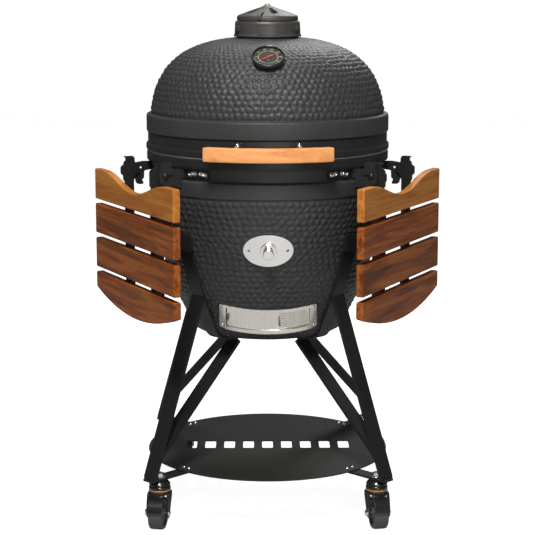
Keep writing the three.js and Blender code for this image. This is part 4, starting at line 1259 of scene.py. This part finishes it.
def caster(corner, turn, trail):
    """Bearing cap and stem, hooded fork with its ring and axle, and a wheel with hub and tread."""
    a = math.radians(turn)
    reach = CASTER_REACH * MM
    ground = Matrix.Translation((-reach * math.sin(a), reach * math.cos(a), 0))
    cap = [(0, 99.3), (24, 99.3), (24.5, 101), (23.5, 104), (19, 109), (12, 111.7)]
    cap = fillet(cap + [(6, 111.7), (6, 124), (5, 126.6), (0, 127)], 1.2, 3, closed=False)
    stem = ("base", "black_steel", "caster_stem_" + corner)
    cap = revolve(cap, 64, closed=False)
    add("caster_cap_" + corner, cap, black_plastic, *stem, frame_at=ground)
    ground = ground @ turned(trail, "Z")
    crown = [(0, 89.5), (23, 89.5), (25, 91), (25, 95), (22.5, 99), (0, 99)]
    crown = revolve(fillet(crown, [0, 1, 1.5, 2, 2, 0], 4, closed=False), 64, closed=False)
    back = CASTER_TRAIL
    side = [(-14, 84), (17, 84), (24, 70), (back + 13, 40), (back + 8, 26)]
    side += [(back - 8, 26), (back - 13, 40), (-16, 74)]
    side = fillet(side, [2, 6, 14, 10, 9, 9, 10, 14], 5)
    plates = [side_plate(side, 20.0, 25.4), side_plate(side, -25.4, -20.0)]
    neck = [(0, 77.5), (20, 77.5), (25, 80), (25, 91), (0, 91)]
    neck = revolve(fillet(neck, [0, 3, 3, 1, 0], 3, closed=False), 64, closed=False)
    fork = "fork_" + corner
    hood = ("caster_hood_" + corner, merged(crown, neck, caster_hood(), *plates), black_plastic)
    held = (fork, "black_steel", "caster_fork_" + corner)
    add(*hood, *held, soft=1.5, segments=3, frame_at=ground)
    band = fillet([(18, 87.0), (24.8, 87.0), (25.4, 88.7), (24.8, 90.4), (18, 90.4)], 0.6, 3)
    add("caster_ring_" + corner, revolve(band, 64), orange, fork, "black_steel", frame_at=ground)
    sideways = turned(90, "Y")
    middle = at(0, CASTER_TRAIL, WHEEL_R)
    axle = [moved(rod(5, 58, 24), middle @ at(-27, 0, 0) @ sideways)]
    axle.append(moved(hex_nut(13, 5), middle @ at(25.4, 0, 0) @ sideways))
    axle.append(moved(pan_head(6.4, 3.6), middle @ at(-25.4, 0, 0) @ turned(-90, "Y")))
    add("caster_axle_" + corner, merged(*axle), bright, fork, "zinc_steel", frame_at=ground)
    wheel = "wheel_" + corner
    centre = Matrix.Translation((0, CASTER_TRAIL * MM, WHEEL_R * MM))
    wheel_at = {"frame_at": ground @ centre @ sideways}
    tyre = [(29, -15), (33.5, -16.8), (36.4, -15), (WHEEL_R, -10)]
    tyre = tyre + mirrored(tyre)
    tyre = revolve(fillet(tyre, [2, 2, 2, 4, 4, 2, 2, 2], 4), 96)
    replaced = "caster_wheel_" + corner
    add("caster_tyre_" + corner, tyre, tread, wheel, "tread_rubber", replaced, sharp=50, **wheel_at)
    core = [(5.6, -17), (11, -17), (12.5, -14.5), (14, -11), (26, -10.5)]
    core += [(28.5, -13.4), (30.5, -13.4)]
    core = revolve(fillet(core + mirrored(core), 1.2, 3), 72)
    add("caster_hub_" + corner, core, hub_plastic, wheel, "tread_rubber", **wheel_at)


# ------------------------------------------------------------------ side shelves

SHELF_LENGTH = 454
SHELF_FACE = 346
SLAT_THICK = 18
ARM_IN, ARM_OUT = 81.5, 86.5
FOLD_R, FOLD_Z = 303, 782
# Slats from the top down: low edge, high edge, dip of the top, drop of the bottom.
SLATS = ((697, 769.5, 34, 0), (615.5, 686.5, 0, 0), (533, 604.5, 0, 0), (484, 522, 0, 38.5))
DIP_SHARE = 0.8  # share of the top slat's length that its dip takes


def edge_arc(sagitta):
    """Depth of a shallow arc along the shelf's length, zero at both ends."""
    half = SHELF_LENGTH / 2
    radius = (half * half + sagitta * sagitta) / (2 * sagitta)
    xs = np.linspace(-half, half, 41)
    return [(x, math.sqrt(radius * radius - x * x) - (radius - sagitta)) for x in xs]


def slat_outline(low, high, dip, drop):
    half = SHELF_LENGTH / 2
    bottom = [(x, low - d) for x, d in edge_arc(drop)] if drop else [(-half, low), (half, low)]
    top = [(half, high), (-half, high)]
    if dip:
        shares = np.linspace(1, -1, 41)
        depths = [dip * math.cos(share * math.pi / 2) ** 2 for share in shares]
        top[1:1] = [(t * half * DIP_SHARE, high - depth) for t, depth in zip(shares, depths)]
    corners = [4] + [0] * (len(bottom) - 2) + [4, 4] + [0] * (len(top) - 2) + [4]
    return fillet(bottom + top, corners, 4)


def arm_shapes():
    """One arm's web, with its locking hook, and its flange against the slats."""
    back = SHELF_FACE - SLAT_THICK - 0.3
    web = [(back - 22, 464), (back, 464), (back, 752), (331.5, 757), (331.5, 766), (337.5, 771)]
    web += [(337.5, 787), (330, 792), (329.5, 798), (325, 801), (325, 806), (330, 811), (307, 811)]
    web += [(303.5, 806), (303, 796), (293, 791), (290, 782), (293, 773), (303, 767)]
    web += [(back - 22, 755)]
    radii = [4, 1, 2, 2, 2, 3, 3, 2, 1, 2, 3, 0.6, 4, 2, 2, 5, 5, 5, 3, 4]
    web = side_plate(fillet(web, radii, 3), ARM_IN, ARM_OUT)
    flange = extrude(rounded_box(ARM_IN - 22, ARM_IN + 1, 464, 728, 3), back - 4, back)
    return web, remap(flange, lambda v: (v.x, v.z, v.y))


# Side outlines of the bracket's plates: the rear one has a hook below, the front one a lug on top.
REAR_PLATE = (
    (257, 777), (277, 775), (278, 758), (283, 754), (279, 746), (281, 743.5), (292, 743.5),
    (297, 747), (299, 756), (312, 763), (316, 774), (316, 786), (311, 793), (280, 797),
    (264, 796.5), (257, 795),
)
FRONT_PLATE = (
    (257, 776), (264.5, 776), (264.5, 754), (316, 764), (318, 772), (318, 792), (314, 797),
    (314, 812), (288, 812), (287, 799), (282, 797), (264, 796.5), (257, 795),
)


def bracket_plate(outline, way):
    x0, x1 = sorted((way * (ARM_OUT + 1), way * (ARM_OUT + 6)))
    return side_plate(fillet(outline, 2.2, 3), x0, x1)


def side_shelf(side, sign):
    frame_at = DATUM @ turned(sign * SHELF_TURN, "Z")
    hung = {"frame_at": frame_at}
    body = "side_shelf_" + side
    for i, (low, high, dip, drop) in enumerate(SLATS):
        shape = extrude(slat_outline(low, high, dip, drop), SHELF_FACE - SLAT_THICK, SHELF_FACE)
        shape = remap(shape, lambda v: (v.x, v.z, v.y))
        board = (f"board_{i + 1}_{side}", shape, slat_wood[side][i], body, "slat_wood")
        add(*board, f"slat_{i + 1}_{side}", soft=3.0, segments=4, **hung)
    ends = (("rear", 1), ("front", -1)) if sign > 0 else (("front", 1), ("rear", -1))
    sideways = turned(90, "Y")
    base_nuts, shelf_bolts, dark_bolts = [], [], []
    for end, way in ends:
        flip = Matrix.Scale(way, 4, (1, 0, 0))
        arm = moved(merged(*arm_shapes()), flip)
        node = f"shelf_arm_{end}_{side}"
        add(f"arm_{end}_{side}", arm, frame_coat, body, "black_steel", node, soft=0.9, **hung)
        bolt = moved(rod(4, 11, 24), at(ARM_OUT - 1, FOLD_R, FOLD_Z) @ sideways)
        head = moved(pan_head(7.4, 4.6), at(ARM_OUT + 6.6, FOLD_R, FOLD_Z) @ sideways)
        (dark_bolts if end == "front" else shelf_bolts).append(moved(merged(bolt, head), flip))
        back = SHELF_FACE - SLAT_THICK - 4.3
        for low, high, dip, drop in SLATS:
            for z in (low + 9, low + (24 if dip or drop else 48)):
                screw = moved(pan_head(4.0, 2.2), at(ARM_IN - 10, back, z) @ OUTWARD)
                dark_bolts.append(moved(screw, flip))
    strap = fillet([(270.4, 775), (273.4, 775), (273.4, 795), (270.4, 795)], 0.6, 2)
    strap = arc_solid(strap, 180, 34.5, 60)
    plates = []
    for end, way in ends:
        hole = moved(rod(4.5, 40, 24, 0.1), at(way * 90 - 20, FOLD_R, FOLD_Z) @ sideways)
        slot = fillet([(282, 780), (297, 780), (297, 784.5), (282, 784.5)], 2, 4)
        slot = side_plate(slot, way * 90 - 10, way * 90 + 10)
        outline = FRONT_PLATE if end == "front" else REAR_PLATE
        piece = finished("tool_plate", *bracket_plate(outline, way), band_coat, frame_at)
        combine(piece, "DIFFERENCE", hole, slot)
        data = piece.data
        plates.append(as_shape(data, 1 / MM))
        bpy.data.objects.remove(piece)
        bpy.data.meshes.remove(data)
    bracket, node = merged(strap, *plates), "shelf_bracket_" + side
    add("neck_bracket_" + side, bracket, band_coat, "base", "band_steel", node, soft=0.7, **hung)
    for turn in (24.0, 26.3, 30.2, 32.0):
        for way in (1, -1):
            z = 786 + (1.5 if turn in (26.3, 30.2) else -0.5)
            spin = turned(way * turn, "Z")
            base_nuts.append(moved(acorn_nut(8), spin @ at(0, 273.3, z) @ turned(-90, "X")))
    add("neck_nuts_" + side, merged(*base_nuts), bright, "base", "zinc_steel", **hung)
    add("shelf_bolts_" + side, merged(*shelf_bolts), bright, body, "zinc_steel", **hung)
    add("shelf_screws_" + side, merged(*dark_bolts), dark_coat, body, "black_steel", **hung)


# ------------------------------------------------------------------ stage, light and camera

SKY = 0.10  # strength of the white surroundings in reflections and shade
SKY_SEEN = 1.05  # their strength behind the object, as the camera sees them
FLOOR_GLOW = 0.93
CAMERA_AT = (-0.0268, -3.8375, 1.2403)
CAMERA_DOWN, CAMERA_RIGHT = 10.10, 0.4  # degrees the view looks below level and to the right
FOCAL_LENGTH = 110.18


def stage():
    floor_shape = extrude(rounded_box(-9000, 9000, -7000, 11000, 400), -40, 0)
    floor_piece = finished("studio_floor", *floor_shape, pale_floor(), Matrix.Identity(4))
    world = bpy.data.worlds.new("studio")
    bpy.context.scene.world = world
    world.use_nodes = True
    tree = world.node_tree
    seen = tree.nodes.new("ShaderNodeLightPath").outputs["Is Camera Ray"]
    strength = tree.nodes.new("ShaderNodeMapRange")
    strength.inputs["To Min"].default_value = SKY
    strength.inputs["To Max"].default_value = SKY_SEEN
    tree.links.new(seen, strength.inputs["Value"])
    tree.links.new(strength.outputs["Result"], tree.nodes["Background"].inputs["Strength"])
    tree.nodes["Background"].inputs["Color"].default_value = (1.0, 1.0, 1.0, 1)
    softbox("key", (-0.3, -2.3, 3.7), (0, 0, 0.75), 0.8, 160)
    softbox("front", (0.6, -4.2, 1.3), (0, 0, 0.5), 1.4, 40)
    softbox("crown", (-0.2, 1.5, 3.7), (0, 0, 0.9), 1.2, 26)
    softbox("back", (1.2, 3.0, 3.6), (0, 0, 0.6), 1.4, 60)


def pale_floor():
    """White studio sheet that glows where the camera sees it, to melt into the background."""
    s = Shader("pale_floor", Roughness=0.8, Emission_Color=(1, 1, 1))
    seen = s.node("LightPath").outputs["Is Camera Ray"]
    s.set(s.surface, Base_Color=s.mix(s.noise(3, 2), (0.50, 0.50, 0.50), (0.52, 0.52, 0.52)))
    s.set(s.surface, Emission_Strength=s.grey(seen, 0.0, FLOOR_GLOW))
    return s.material


def softbox(name, place, target, size, power):
    lamp = bpy.data.lights.new(name, "AREA")
    lamp.size = size
    lamp.energy = power
    thing = bpy.data.objects.new(name, lamp)
    bpy.context.scene.collection.objects.link(thing)
    thing.location = place
    thing.rotation_euler = (Vector(target) - Vector(place)).to_track_quat("-Z", "Y").to_euler()


def camera():
    lens = bpy.data.cameras.new("camera")
    lens.lens = FOCAL_LENGTH
    lens.sensor_width = 36
    lens.clip_end = 60
    thing = bpy.data.objects.new("camera", lens)
    bpy.context.scene.collection.objects.link(thing)
    thing.location = CAMERA_AT
    thing.rotation_euler = (math.radians(90 - CAMERA_DOWN), 0, math.radians(-CAMERA_RIGHT))
    bpy.context.scene.camera = thing
    bpy.context.scene.view_settings.view_transform = "Standard"


lid_dome()
bands_and_gaskets()
handle()
vent()
thermometer()
hinge()
bowl()
fire_parts()
draft()
port()
for corner, turn, trail in CORNERS:
    leg(corner, turn)
    caster(corner, turn, trail)
bottom_shelf()
for side, sign in SIDES:
    side_shelf(side, sign)
stage()
camera()
